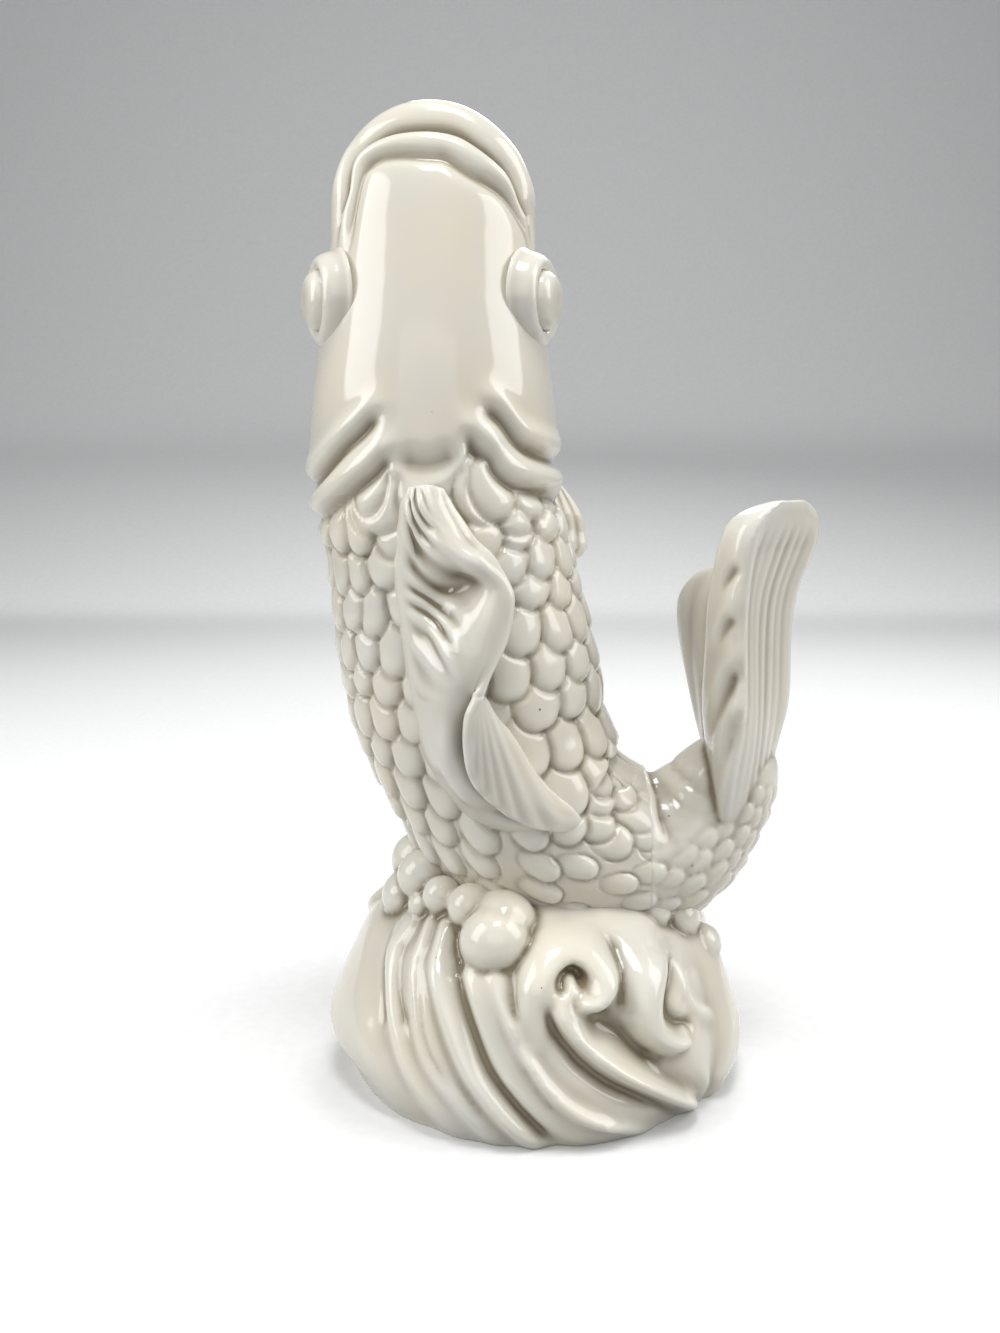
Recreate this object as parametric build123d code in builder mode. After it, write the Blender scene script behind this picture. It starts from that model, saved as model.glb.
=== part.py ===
from build123d import *
import math
import os

# A leaping carp in glazed white earthenware, rising out of a swirl of waves.
# It is slip cast as hollow shells, with pressed fins, lips, eyes and foam stuck on with slip.
# +Z is up, the back of the fish faces -Y, and the tail is on the +X side.
# The origin is the middle of the foot, on the plane that the figurine stands on.

# Whole figurine
figurine_height = 265.0
base_height = 44.0
casting_wall = 4.5
sink = 3.0

# Trunk, tail stem and head
body_width = 71.0
body_depth = 72.0

# Wave base
base_width = 117.0
base_depth = 115.0
nest_depth = 7.0
base_floor = 5.0
vent_radius = 6.0
air_passage_radius = 4.0

# Eyes
eye_ring_radius = 8.4
eye_roll_radius = 3.1
eyeball_radius = 8.0
eyeball_bulge = 6.2

# Lips
lip_radius = 4.3

# Fins
fin_thickness = 3.2
dorsal_height = 24.0
pectoral_length = 14.0
pectoral_chord = 28.0
pelvic_length = 11.0
pelvic_chord = 18.0
tail_height = 73.0
tail_chord = 34.0

# Waves and foam
rib_radius = 4.4
rib_stand = 2.4
curl_radius = 5.0
curl_size = 10.0
curl_lift = 2.4
foam_radius = 7.5

# Slip in the joints
seam_width = 7.0
seam_thickness = 2.5

fish_height = figurine_height - base_height
mound_height = base_height + nest_depth
head_x_share = -0.1295
os.makedirs("parts", exist_ok=True)

# Shares along the back bone: x and height as shares of fish_height, half width as a share of
# body_width and half depth as a share of body_depth
trunk_shares = [
    (-0.1280, 0.548, 0.478, 0.480),
    (-0.1160, 0.487, 0.466, 0.485),
    (-0.0990, 0.385, 0.492, 0.500),
    (-0.0770, 0.283, 0.500, 0.500),
    (-0.0580, 0.222, 0.475, 0.485),
    (-0.0230, 0.163, 0.437, 0.455),
    (0.0360, 0.115, 0.380, 0.400),
    (0.1360, 0.093, 0.289, 0.320),
]
stem_shares = [
    (0.1360, 0.093, 0.289, 0.320),
    (0.1900, 0.106, 0.260, 0.280),
    (0.2310, 0.145, 0.226, 0.235),
    (0.2530, 0.195, 0.194, 0.195),
    (0.2600, 0.240, 0.160, 0.160),
]

# Shares up the head: height as a share of fish_height, half width of body_width, then the
# middle and the half depth of body_depth
head_shares = [
    (0.661, 0.454, 0.000, 0.430),
    (0.765, 0.408, 0.030, 0.370),
    (0.842, 0.381, 0.045, 0.305),
    (0.910, 0.338, 0.055, 0.235),
    (0.955, 0.255, 0.070, 0.165),
    (0.980, 0.150, 0.080, 0.100),
]

# Shares up the wave base: height as a share of mound_height, reach as a share of the half size
mound_shares = [
    (0.00, 0.950),
    (0.16, 0.985),
    (0.31, 0.980),
    (0.43, 0.950),
    (0.69, 0.870),
    (0.82, 0.800),
    (1.00, 0.660),
]

# Rows along the dorsal fin: row of the back bone, turn off the back in degrees, then the middle
# and the free edge of its section, sideways and outwards, as shares of dorsal_height
dorsal_shares = [
    (0.15, -6, 0.05, 0.12, 0.16, 0.22),
    (0.70, -9, 0.22, 0.20, 0.50, 0.36),
    (1.30, -18, 0.50, 0.14, 0.95, 0.42),
    (1.70, -18, 0.54, 0.20, 1.02, 0.48),
    (2.20, -18, 0.36, 0.34, 0.72, 0.66),
    (2.60, -21, 0.42, 0.34, 0.62, 0.72),
    (3.20, -21, 0.80, 0.26, 0.42, 0.66),
    (3.70, -18, 0.84, 0.26, 0.34, 0.60),
    (4.20, -18, 0.82, 0.24, 0.30, 0.52),
    (4.80, -12, 0.66, 0.18, 0.24, 0.42),
    (5.40, 3, 0.50, 0.14, 0.24, 0.30),
    (5.90, 8, 0.22, 0.10, 0.14, 0.18),
]

# Sections of a side fin, from its root to its edge: how far out, chord, half thickness
fan_shares = [(0.0, 0.75, 0.9), (0.6, 1.0, 0.6), (1.0, 0.55, 0.3)]
# Side fins: row of the back bone, turn off the back in degrees, slant towards the tail
side_fin_shares = {
    "pectoral_fin_right": (1.0, 122, 0.35),
    "pectoral_fin_left": (1.9, -128, 0.50),
    "pelvic_fin_right": (3.4, 152, 0.50),
    "pelvic_fin_left": (3.4, -152, 0.50),
}

# Outlines of the near tail lobe, as shares of tail_chord round the middle of the stem's end, at
# heights that are shares of tail_height. The first four corners run from the front ridge across
# the panel to the outer edge, the last four back along the hollow side to the inner edge
near_lobe_shares = [
    (-0.29, (-0.19, -0.38), (-0.04, -0.32), (0.08, -0.09), (0.08, 0.09),
     (-0.04, 0.09), (-0.19, 0.03), (-0.28, -0.12), (-0.25, -0.26)),
    (-0.11, (-0.20, -0.57), (0.02, -0.41), (0.22, -0.09), (0.21, 0.10),
     (0.02, 0.10), (-0.22, 0.00), (-0.30, -0.18), (-0.28, -0.41)),
    (0.07, (-0.19, -0.63), (0.07, -0.46), (0.28, -0.10), (0.28, 0.04),
     (0.05, -0.04), (-0.23, -0.03), (-0.31, -0.21), (-0.30, -0.43)),
    (0.25, (-0.13, -0.65), (0.12, -0.43), (0.37, -0.08), (0.36, 0.04),
     (0.07, -0.16), (-0.25, -0.15), (-0.37, -0.26), (-0.32, -0.47)),
    (0.55, (-0.14, -0.65), (0.12, -0.40), (0.38, -0.08), (0.37, 0.04),
     (0.09, -0.22), (-0.23, -0.25), (-0.37, -0.34), (-0.32, -0.51)),
    (0.75, (-0.13, -0.68), (0.16, -0.40), (0.46, -0.08), (0.46, 0.03),
     (0.16, -0.23), (-0.18, -0.31), (-0.34, -0.41), (-0.30, -0.56)),
    (0.87, (-0.08, -0.68), (0.24, -0.40), (0.57, -0.09), (0.57, 0.03),
     (0.25, -0.22), (-0.09, -0.35), (-0.29, -0.44), (-0.24, -0.59)),
    (1.00, (0.05, -0.60), (0.27, -0.43), (0.52, -0.18), (0.51, -0.08),
     (0.28, -0.27), (0.03, -0.38), (-0.11, -0.44), (-0.08, -0.55)),
]
# Sections of the far tail lobe: height, middle x and y, half chord, half thickness, turn
far_lobe_shares = [
    (-0.10, 0.00, 0.06, 0.30, 0.24, 95),
    (0.10, -0.10, 0.26, 0.36, 0.17, 105),
    (0.34, -0.20, 0.42, 0.42, 0.12, 112),
    (0.56, -0.25, 0.50, 0.42, 0.09, 118),
    (0.74, -0.22, 0.56, 0.32, 0.06, 120),
]

# Ridges that sweep down the waves to the foot: bearing in degrees and height as a share of
# mound_height, then by how many degrees each further copy of the ridge is turned round the base
rib_shares = [
    ([(-121, 0.74), (-112, 0.58), (-102, 0.37), (-91, 0.13)],
     [0, -22, -45, -70, -118, -140, -163, -207, -229, -251]),
    ([(-14, 0.72), (-17, 0.56), (-22, 0.38), (-32, 0.14)], [0]),
]

# A wave crest: how far its line lies from the middle of the curl, round the base and up it, and
# how thick it is, as shares of curl_size, curl_size and curl_radius
crest_shares = [
    (2.40, -3.00, 0.60),
    (0.90, -2.45, 0.85),
    (-0.50, -1.20, 1.00),
    (-0.75, 0.30, 1.05),
    (0.10, 1.00, 1.00),
    (0.75, 0.35, 0.80),
    (0.35, -0.25, 0.60),
]
# A falling crest, which drips to a point
drip_shares = [
    (-0.10, 0.75, 1.30),
    (-0.35, 0.10, 1.35),
    (-0.40, -0.60, 1.20),
    (-0.10, -1.30, 1.05),
    (0.45, -1.75, 0.80),
    (1.05, -1.95, 0.45),
]
# Each crest: its line, its bearing round the base in degrees and its height on the mound
crest_places = {
    "wave_curl_front": (crest_shares, -82.0, 0.84),
    "wave_curl_right": (drip_shares, -55.0, 0.86),
    "wave_curl_back": (crest_shares, 60.0, 0.84),
    "wave_curl_left": (crest_shares, 150.0, 0.84),
}

# Foam balls: bearing in degrees, reach as a share of the half size of the base, height as a
# share of mound_height, radius as a share of foam_radius
foam_shares = {
    "foam_left": [
        (186, 0.60, 1.10, 1.30),
        (173, 0.66, 1.34, 0.80),
        (178, 0.66, 0.92, 1.20),
        (216, 0.56, 1.08, 0.85),
        (200, 0.60, 1.02, 0.95),
    ],
    "foam_front": [(252, 0.68, 0.92, 1.34), (243, 0.58, 1.08, 0.95)],
    "foam_right": [(339, 0.76, 0.84, 0.95), (346, 0.80, 0.70, 0.90)],
    "foam_back": [(74, 0.63, 0.97, 1.20), (96, 0.61, 1.03, 1.00), (86, 0.72, 0.88, 1.00)],
}

spine_shares = trunk_shares + stem_shares[1:]
joint_row = len(trunk_shares) - 1


def on_fish(x_share, z_share, y=0.0):
    """A point by its shares of fish_height, with y in real size."""
    return Vector(x_share * fish_height, y, base_height + z_share * fish_height)


spine_points = [on_fish(x_share, z_share) for x_share, z_share, _, _ in spine_shares]
spine = Spline(spine_points)
spine_stops = [spine.param_at_point(point) for point in spine_points]


def between(values, row):
    """Value at a row that may lie between two rows of a list."""
    low = min(int(row), len(values) - 2)
    return values[low] + (values[low + 1] - values[low]) * (row - low)


def spine_plane(row, upward=False):
    """The plane square to the back bone, its x towards the back of the fish."""
    stop = between(spine_stops, row)
    along = spine % stop
    return Plane(origin=spine @ stop, x_dir=(0, -1, 0), z_dir=-along if upward else along)


def flank(row):
    """Direction from the back bone to the flank on the right of the photo."""
    along = spine % between(spine_stops, row)
    return Vector(-along.Z, 0, along.X)


def outward(row, degrees):
    """Direction out of the body: 0 degrees is its back, 90 its right flank in the photo."""
    angle = math.radians(degrees)
    return Vector(0, -math.cos(angle), 0) + flank(row) * math.sin(angle)


def skin(row, degrees):
    """Point on the skin of the trunk at a row and a turn off the back."""
    angle = math.radians(degrees)
    out = between([depth for _, _, _, depth in spine_shares], row) * body_depth
    side = between([width for _, _, width, _ in spine_shares], row) * body_width
    back = Vector(0, -out * math.cos(angle), 0)
    return spine_plane(row).origin + back + flank(row) * side * math.sin(angle)


def limb(shares, first_row, wall=0.0):
    """Loft through ellipses square to the back bone, smaller all round by a wall."""
    with BuildPart() as form:
        for row, (_, _, width_share, depth_share) in enumerate(shares):
            with BuildSketch(spine_plane(first_row + row)):
                Ellipse(depth_share * body_depth - wall, width_share * body_width - wall)
        loft()
    return form.part


def skull(shares, wall=0.0):
    """Loft from the neck up through level ellipses, smaller all round by a wall."""
    _, _, neck_width_share, neck_depth_share = trunk_shares[0]
    with BuildPart() as form:
        with BuildSketch(spine_plane(0, upward=True)):
            Ellipse(neck_depth_share * body_depth - wall, neck_width_share * body_width - wall)
        for z_share, width_share, middle_share, depth_share in shares:
            centre = on_fish(head_x_share, z_share, middle_share * body_depth)
            with BuildSketch(Plane(origin=centre, x_dir=(0, -1, 0), z_dir=(0, 0, 1))):
                Ellipse(depth_share * body_depth - wall, width_share * body_width - wall)
        loft()
    return form.part


def roll(points, radii, facing):
    """Loft through circles along a line of points, for lips, ridges and wave crests. Each circle
    starts from the side that faces outwards, so that the loft runs straight along the line."""
    last = len(points) - 1
    with BuildPart() as form:
        for index, point in enumerate(points):
            along = points[min(index + 1, last)] - points[max(index - 1, 0)]
            across = along.cross(facing).cross(along)
            with BuildSketch(Plane(origin=point, x_dir=across, z_dir=along)):
                Circle(radii[index])
        loft()
    return form.part


def reach_at(height):
    """Reach of the mound at a height, as a share of its half size."""
    share = min(max(height / mound_height, 0.0), 1.0)
    for low, high in zip(mound_shares, mound_shares[1:]):
        if share <= high[0]:
            return low[1] + (high[1] - low[1]) * (share - low[0]) / (high[0] - low[0])
    return mound_shares[-1][1]


def on_mound(degrees, height, reach_share):
    """Point round the base, at a share of its half size from the middle."""
    angle = math.radians(degrees)
    x = reach_share * base_width / 2 * math.cos(angle)
    y = reach_share * base_depth / 2 * math.sin(angle)
    return Vector(x, y, height)


def finish(piece, name):
    """Name a finished piece and write it out."""
    piece.part.label = name
    export_step(piece.part, f"parts/{name}.step")


# Outer forms of the castings, which all that is stuck on is trimmed to
trunk_form = limb(trunk_shares, 0)
stem_form = limb(stem_shares, joint_row)
skull_form = skull(head_shares)

with BuildPart() as mound:
    for z_share, reach_share in mound_shares:
        with BuildSketch(Plane.XY.offset(z_share * mound_height)):
            Ellipse(reach_share * base_width / 2, reach_share * base_depth / 2)
    loft()
    # ridges on the mound, sunk deeper at both of their ends
    for rib, turns in rib_shares:
        for turn in turns:
            line = []
            for step, (degrees, height_share) in enumerate(rib):
                height = height_share * mound_height
                proud = rib_stand - rib_radius * (2 if step in (0, len(rib) - 1) else 1)
                reach = reach_at(height) + proud / (base_width / 2)
                line.append(on_mound(degrees + turn, height, reach))
            add(roll(line, [rib_radius] * len(line), on_mound(rib[1][0] + turn, 0.0, 1.0)))
mound_form = mound.part

# Hollow trunk and tail stem, open to each other at the seam on the tail
air_spot = on_mound(0.0, base_height, 0.0) + Vector(spine_points[joint_row - 1].X, 0, 0)
with BuildPart() as trunk_shell:
    add(trunk_form)
    add(limb(trunk_shares, 0, casting_wall), mode=Mode.SUBTRACT)
    with Locations(air_spot):
        Cylinder(air_passage_radius, casting_wall * 4, mode=Mode.SUBTRACT)
finish(trunk_shell, "trunk_shell")

with BuildPart() as tail_stem_shell:
    add(stem_form)
    add(limb(stem_shares[:-1], joint_row, casting_wall), mode=Mode.SUBTRACT)
finish(tail_stem_shell, "tail_stem_shell")

# Hollow base of waves, with a closed foot, a vent and an air passage up to the fish
with BuildPart() as base_hollow:
    for z_share, reach_share in mound_shares:
        rise = z_share * (base_height - base_floor - casting_wall)
        wide = reach_share * base_width / 2 - casting_wall
        deep = reach_share * base_depth / 2 - casting_wall
        with BuildSketch(Plane.XY.offset(base_floor + rise)):
            Ellipse(wide, deep)
    loft()

with BuildPart() as base_shell:
    add(mound_form)
    add(base_hollow.part, mode=Mode.SUBTRACT)
    add(trunk_form, mode=Mode.SUBTRACT)
    add(stem_form, mode=Mode.SUBTRACT)
    Cylinder(vent_radius, base_floor * 4, mode=Mode.SUBTRACT)
    with Locations(air_spot):
        Cylinder(air_passage_radius, casting_wall * 4, mode=Mode.SUBTRACT)
finish(base_shell, "base_shell")

# Lips: two rolls that meet at the corners of the closed mouth and arch over the snout
mouth_z_share, mouth_width_share, _, _ = head_shares[2]
mouth_width = mouth_width_share * body_width - lip_radius / 3
lip_shares = {"lower_lip": (0.060, 0.045, 1.0, 1.0), "upper_lip": (-0.040, -0.105, 0.86, 0.75)}
lips = {}
for name, (corner_share, crown_share, reach_share, rise_share) in lip_shares.items():
    corner = on_fish(head_x_share, mouth_z_share)
    rise = (figurine_height - lip_radius - corner.Z) * rise_share
    line = []
    radii = []
    for step in range(9):
        arch = math.sin(math.pi * step / 8)
        depth = (corner_share + (crown_share - corner_share) * arch) * body_depth
        swing = mouth_width * reach_share * math.cos(math.pi * step / 8)
        line.append(corner + Vector(swing, depth, rise * arch))
        radii.append(lip_radius * (0.55 + 0.45 * arch))
    lips[name] = roll(line, radii, Vector(0, -1, 0))

with BuildPart() as lower_lip:
    add(lips["lower_lip"])
finish(lower_lip, "lower_lip")

with BuildPart() as upper_lip:
    add(lips["upper_lip"])
    add(lips["lower_lip"], mode=Mode.SUBTRACT)
finish(upper_lip, "upper_lip")

# Hollow head, cut back where the lips bed into it
with BuildPart() as head_shell:
    add(skull_form)
    add(skull(head_shares[:4], casting_wall), mode=Mode.SUBTRACT)
    add(lips["lower_lip"], mode=Mode.SUBTRACT)
    add(lips["upper_lip"], mode=Mode.SUBTRACT)
finish(head_shell, "head_shell")

# Eyes: a domed eyeball in a thick rolled collar on each side of the head
eye_z_share, eye_width_share, eye_middle_share, eye_depth_share = head_shares[1]
eye_turn = math.radians(20.0)
for name, side in (("right", 1), ("left", -1)):
    wide = eye_width_share * body_width
    deep = eye_depth_share * body_depth
    across = Vector(side * wide * math.cos(eye_turn), -deep * math.sin(eye_turn), 0)
    centre = on_fish(head_x_share, eye_z_share, eye_middle_share * body_depth) + across
    facing = Vector(side * math.cos(eye_turn) / wide, -math.sin(eye_turn) / deep, 0).normalized()
    eye_plane = Plane(origin=centre, x_dir=(0, 0, 1), z_dir=facing)
    ball_place = eye_plane.offset(eyeball_bulge - eyeball_radius).location
    with BuildPart() as eyeball:
        with Locations(ball_place):
            Sphere(eyeball_radius)
        add(skull_form, mode=Mode.SUBTRACT)
    finish(eyeball, f"eyeball_{name}")

    with BuildPart() as eye_collar:
        with Locations(eye_plane.location):
            Torus(eye_ring_radius, eye_roll_radius)
        with Locations(ball_place):
            Sphere(eyeball_radius, mode=Mode.SUBTRACT)
        add(skull_form, mode=Mode.SUBTRACT)
    finish(eye_collar, f"eye_collar_{name}")

# Dorsal fin: a waved sheet that leans over the right flank and curls back lower down
with BuildPart() as dorsal_fin:
    for row, degrees, mid_side, mid_out, edge_side, edge_out in dorsal_shares:
        root = skin(row, degrees)
        along = spine % between(spine_stops, row)
        start = Vector(0, -sink)
        middle = Vector(mid_side, mid_out) * dorsal_height
        edge = Vector(edge_side, edge_out) * dorsal_height
        with BuildSketch(Plane(origin=root, x_dir=flank(row), z_dir=along)):
            near_side = []
            far_side = []
            for point, chord, thick_share in (
                (start, middle - start, 0.70),
                (middle, edge - start, 0.50),
                (edge, edge - middle, 0.35),
            ):
                square = Vector(-chord.Y, chord.X).normalized() * fin_thickness * thick_share
                near_side.append(point + square)
                far_side.append(point - square)
            with BuildLine():
                Spline(near_side)
                Line(near_side[-1], far_side[-1])
                Spline(list(reversed(far_side)))
                Line(far_side[0], near_side[0])
            make_face()
    loft()
    add(trunk_form, mode=Mode.SUBTRACT)
finish(dorsal_fin, "dorsal_fin")

# Side fins: thin fans that stand off the flanks and the belly
for name, (row, degrees, slant_share) in side_fin_shares.items():
    length, chord = pectoral_length, pectoral_chord
    if name.startswith("pelvic"):
        length, chord = pelvic_length, pelvic_chord
    out = outward(row, degrees)
    tailward = spine % between(spine_stops, row)
    root = skin(row, degrees)
    with BuildPart() as side_fin:
        for out_share, chord_share, thick_share in fan_shares:
            shift = tailward * length * slant_share * out_share
            place = root - out * sink + out * (length + sink) * out_share + shift
            with BuildSketch(Plane(origin=place, x_dir=tailward, z_dir=out)):
                Ellipse(chord * chord_share / 2, fin_thickness * thick_share)
        loft()
        add(trunk_form, mode=Mode.SUBTRACT)
        add(mound_form, mode=Mode.SUBTRACT)
    finish(side_fin, name)

# Forked tail: the near lobe is a wedge with a ridge in front, the far lobe is a thin blade
stem_end = spine_points[-1]
tail_foot = Vector(stem_end.X, 0, spine_points[-2].Z)
with BuildPart() as tail_lobe_near:
    for z_share, *corner_shares in near_lobe_shares:
        middle = tail_foot + Vector(0, 0, z_share * tail_height)
        corners = [Vector(*corner_share) * tail_chord for corner_share in corner_shares]
        with BuildSketch(Plane(origin=middle, z_dir=(0, 0, 1))):
            with BuildLine():
                Spline(corners, periodic=True)
            make_face()
    loft()
    add(stem_form, mode=Mode.SUBTRACT)
finish(tail_lobe_near, "tail_lobe_near")

with BuildPart() as tail_lobe_far:
    for z_share, x_share, y_share, chord_share, thick_share, turn in far_lobe_shares:
        offset = Vector(x_share * tail_chord, y_share * tail_chord, z_share * tail_height)
        facing = Vector(math.cos(math.radians(turn)), math.sin(math.radians(turn)), 0)
        with BuildSketch(Plane(origin=tail_foot + offset, x_dir=facing, z_dir=(0, 0, 1))):
            Ellipse(chord_share * tail_chord, thick_share * tail_chord)
    loft()
    add(stem_form, mode=Mode.SUBTRACT)
    add(tail_lobe_near.part, mode=Mode.SUBTRACT)
finish(tail_lobe_far, "tail_lobe_far")

# Foam balls heaped in groups where the waves break against the body
foam = {}
for name, balls in foam_shares.items():
    with BuildPart() as foam_group:
        for degrees, reach_share, height_share, radius_share in balls:
            with Locations(on_mound(degrees, height_share * mound_height, reach_share)):
                Sphere(radius_share * foam_radius)
        add(mound_form, mode=Mode.SUBTRACT)
        add(trunk_form, mode=Mode.SUBTRACT)
        add(stem_form, mode=Mode.SUBTRACT)
    foam[name] = foam_group.part
    finish(foam_group, name)

# Wave crests: tapering rolls that rise out of the mound and curl over
crests = []
for name, (shares, bearing, height_share) in crest_places.items():
    line = []
    radii = []
    for round_share, up_share, thick_share in shares:
        height = max(height_share * mound_height + up_share * curl_size, curl_radius)
        proud = curl_lift - (0 if line else curl_radius)
        reach = reach_at(height) + proud / base_width
        turn = math.degrees(round_share * curl_size / (reach * base_width / 2))
        line.append(on_mound(bearing + turn, height, reach))
        radii.append(curl_radius * thick_share)
    with BuildPart() as crest:
        add(roll(line, radii, on_mound(bearing, 0.0, 1.0)))
        add(mound_form, mode=Mode.SUBTRACT)
        add(trunk_form, mode=Mode.SUBTRACT)
        add(stem_form, mode=Mode.SUBTRACT)
        for group in list(foam.values()) + crests:
            add(group, mode=Mode.SUBTRACT)
    crests.append(crest.part)
    finish(crest, name)

# Coils of slip that bridge the joints from inside
for name, row, first, second in (
    ("neck_slip_seam", 0, trunk_shell.part, head_shell.part),
    ("tail_slip_seam", joint_row, trunk_shell.part, tail_stem_shell.part),
):
    _, _, width_share, depth_share = spine_shares[row]
    wide = width_share * body_width - casting_wall
    deep = depth_share * body_depth - casting_wall
    with BuildPart() as slip_seam:
        with BuildSketch(spine_plane(row)):
            Ellipse(deep + casting_wall / 2, wide + casting_wall / 2)
            Ellipse(deep - seam_thickness, wide - seam_thickness, mode=Mode.SUBTRACT)
        extrude(amount=seam_width / 2, both=True)
        add(first, mode=Mode.SUBTRACT)
        add(second, mode=Mode.SUBTRACT)
    finish(slip_seam, name)
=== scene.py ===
import math

import bpy
import numpy as np
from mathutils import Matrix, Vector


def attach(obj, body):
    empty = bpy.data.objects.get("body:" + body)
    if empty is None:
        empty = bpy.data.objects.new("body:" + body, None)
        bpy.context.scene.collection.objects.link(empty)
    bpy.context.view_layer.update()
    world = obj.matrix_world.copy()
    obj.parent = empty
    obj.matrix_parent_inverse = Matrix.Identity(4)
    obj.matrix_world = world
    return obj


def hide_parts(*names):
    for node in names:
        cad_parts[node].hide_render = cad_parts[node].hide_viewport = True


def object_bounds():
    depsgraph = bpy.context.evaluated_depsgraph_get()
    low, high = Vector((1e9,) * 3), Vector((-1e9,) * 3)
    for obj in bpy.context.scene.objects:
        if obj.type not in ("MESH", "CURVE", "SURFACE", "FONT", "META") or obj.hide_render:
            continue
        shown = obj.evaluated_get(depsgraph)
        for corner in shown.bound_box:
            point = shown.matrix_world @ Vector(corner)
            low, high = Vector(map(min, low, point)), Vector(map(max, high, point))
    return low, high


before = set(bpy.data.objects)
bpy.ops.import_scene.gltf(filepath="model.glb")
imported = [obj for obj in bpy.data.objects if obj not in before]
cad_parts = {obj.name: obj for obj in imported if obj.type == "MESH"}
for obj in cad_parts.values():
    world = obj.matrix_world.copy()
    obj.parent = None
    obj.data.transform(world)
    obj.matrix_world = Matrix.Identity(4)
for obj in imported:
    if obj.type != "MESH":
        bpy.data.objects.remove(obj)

bl_info = {
    "name": "Glazed Carp on Waves",
    "version": (1, 0, 0),
    "blender": (4, 5, 0),
    "location": "View3D > Sidebar > Carp",
    "description": "Surfaces, glaze and studio for the leaping carp figurine",
    "category": "Object",
}

CAD_LOW, CAD_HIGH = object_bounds()
MM = 0.001

# The fish, in millimetres: the same figures as the CAD source
BASE_HEIGHT = 44.0
FISH_HEIGHT = 221.0
BODY_WIDTH = 71.0
BODY_DEPTH = 72.0
MOUND_HEIGHT = 51.0
BASE_WIDTH = 117.0
BASE_DEPTH = 115.0

# Rows from the snout to the end of the tail stem: x as a share of the fish's height, middle y of
# the body depth, height of the fish's height, half width of the body width, half depth of the depth
FISH_SHARES = np.array([
    (-0.1295, 0.085, 0.994, 0, 0),
    (-0.1295, 0.08, 0.982, 0.15, 0.1),
    (-0.1295, 0.07, 0.956, 0.255, 0.165),
    (-0.1295, 0.055, 0.91, 0.338, 0.235),
    (-0.1295, 0.045, 0.842, 0.381, 0.305),
    (-0.1295, 0.03, 0.765, 0.408, 0.37),
    (-0.1295, 0, 0.661, 0.454, 0.43),
    (-0.128, 0, 0.548, 0.478, 0.48),
    (-0.116, 0, 0.487, 0.466, 0.485),
    (-0.099, 0, 0.385, 0.492, 0.5),
    (-0.077, 0, 0.283, 0.5, 0.5),
    (-0.058, 0, 0.222, 0.475, 0.485),
    (-0.023, 0, 0.154, 0.462, 0.475),
    (0.036, 0, 0.101, 0.425, 0.435),
    (0.136, 0, 0.081, 0.33, 0.352),
    (0.19, 0, 0.1, 0.278, 0.298),
    (0.231, 0, 0.145, 0.226, 0.235),
    (0.253, 0, 0.195, 0.194, 0.195),
    (0.26, 0, 0.24, 0.16, 0.16),
])
NECK_ROW = 7
JOINT_ROW = 14
LAST_ROW = 18

# Rings of scales: where each crosses the back of the fish, and how far it slants on to the flanks
SCALE_RINGS = [
    (7.12, 0), (7.75, 0.23), (8.2, 0.16), (8.63, 0.05), (9.04, 0.06), (9.42, 0.16),
    (9.87, 0.23), (10.68, 0.66), (11.5, 0.94), (12.12, 1.05), (12.65, 1), (13.15, 0.95),
    (13.6, 0.8), (14, 0.5), (14.35, 0.3), (14.7, 0.15), (15.05, 0), (15.4, 0),
    (15.8, 0), (16.2, 0), (16.6, 0),
]
# Columns of scales on the right and the left flank: first turn and pace in degrees, and how many
SCALE_COLUMNS = ((18.0, 10.3, 16), (-20.0, -8.3, 20))
# Half length of those scales, the reach at which their pace is measured as a width, and half width
# and half length of the scales along the back, in millimetres
SCALE_HALF = 8.4
FLANK_REACH = 39.5
BACK_SCALE = (5.4, 8.0)
# How much the rings of scales shrink towards the tail
SHRINK_RINGS = (0, 6, 9, 13, 20)
SHRINK = (1.0, 1.0, 0.85, 0.6, 0.45)
# Larger scales below the nape: stop, turn in degrees, half width, half length
NAPE_SCALES = np.array([
    (7.15, 23, 7.6, 8.6), (7.15, -24, 8.6, 7.4), (7.75, 38.5, 6.6, 7.4), (7.42, -40, 5.6, 7),
])
# Where the plain head ends and the scales begin: turn off the back in degrees, and height
COLLAR_LINE = np.array([
    (-180, 199), (-165, 195), (-145, 182), (-115, 167), (-85, 159), (-53, 158), (-30, 165),
    (-17, 170), (-5, 167), (4, 166.5), (15, 171), (18, 176.5), (28, 171), (38, 165), (78, 161),
    (120, 172), (150, 188), (165, 197), (180, 199),
])
# Folds cut into the gill covers, as turn off the back in degrees and height
GILL_FOLDS = [
    [(-20, 184.5), (-30, 179), (-40, 175), (-59, 168.1), (-85, 165), (-115, 170), (-145, 184), (-165, 198)],
    [(-15, 174), (-22, 169.5), (-30, 166.1), (-53, 159.2), (-80, 156), (-110, 160), (-140, 172), (-162, 188)],
    [(24, 186), (36, 180.5), (50, 174.3), (86, 171.5), (118, 176), (145, 190), (165, 201)],
    [(16, 180), (22, 174.5), (28, 171.9), (38, 165.7), (78, 161.5), (110, 165), (140, 178), (162, 192)],
]
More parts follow.
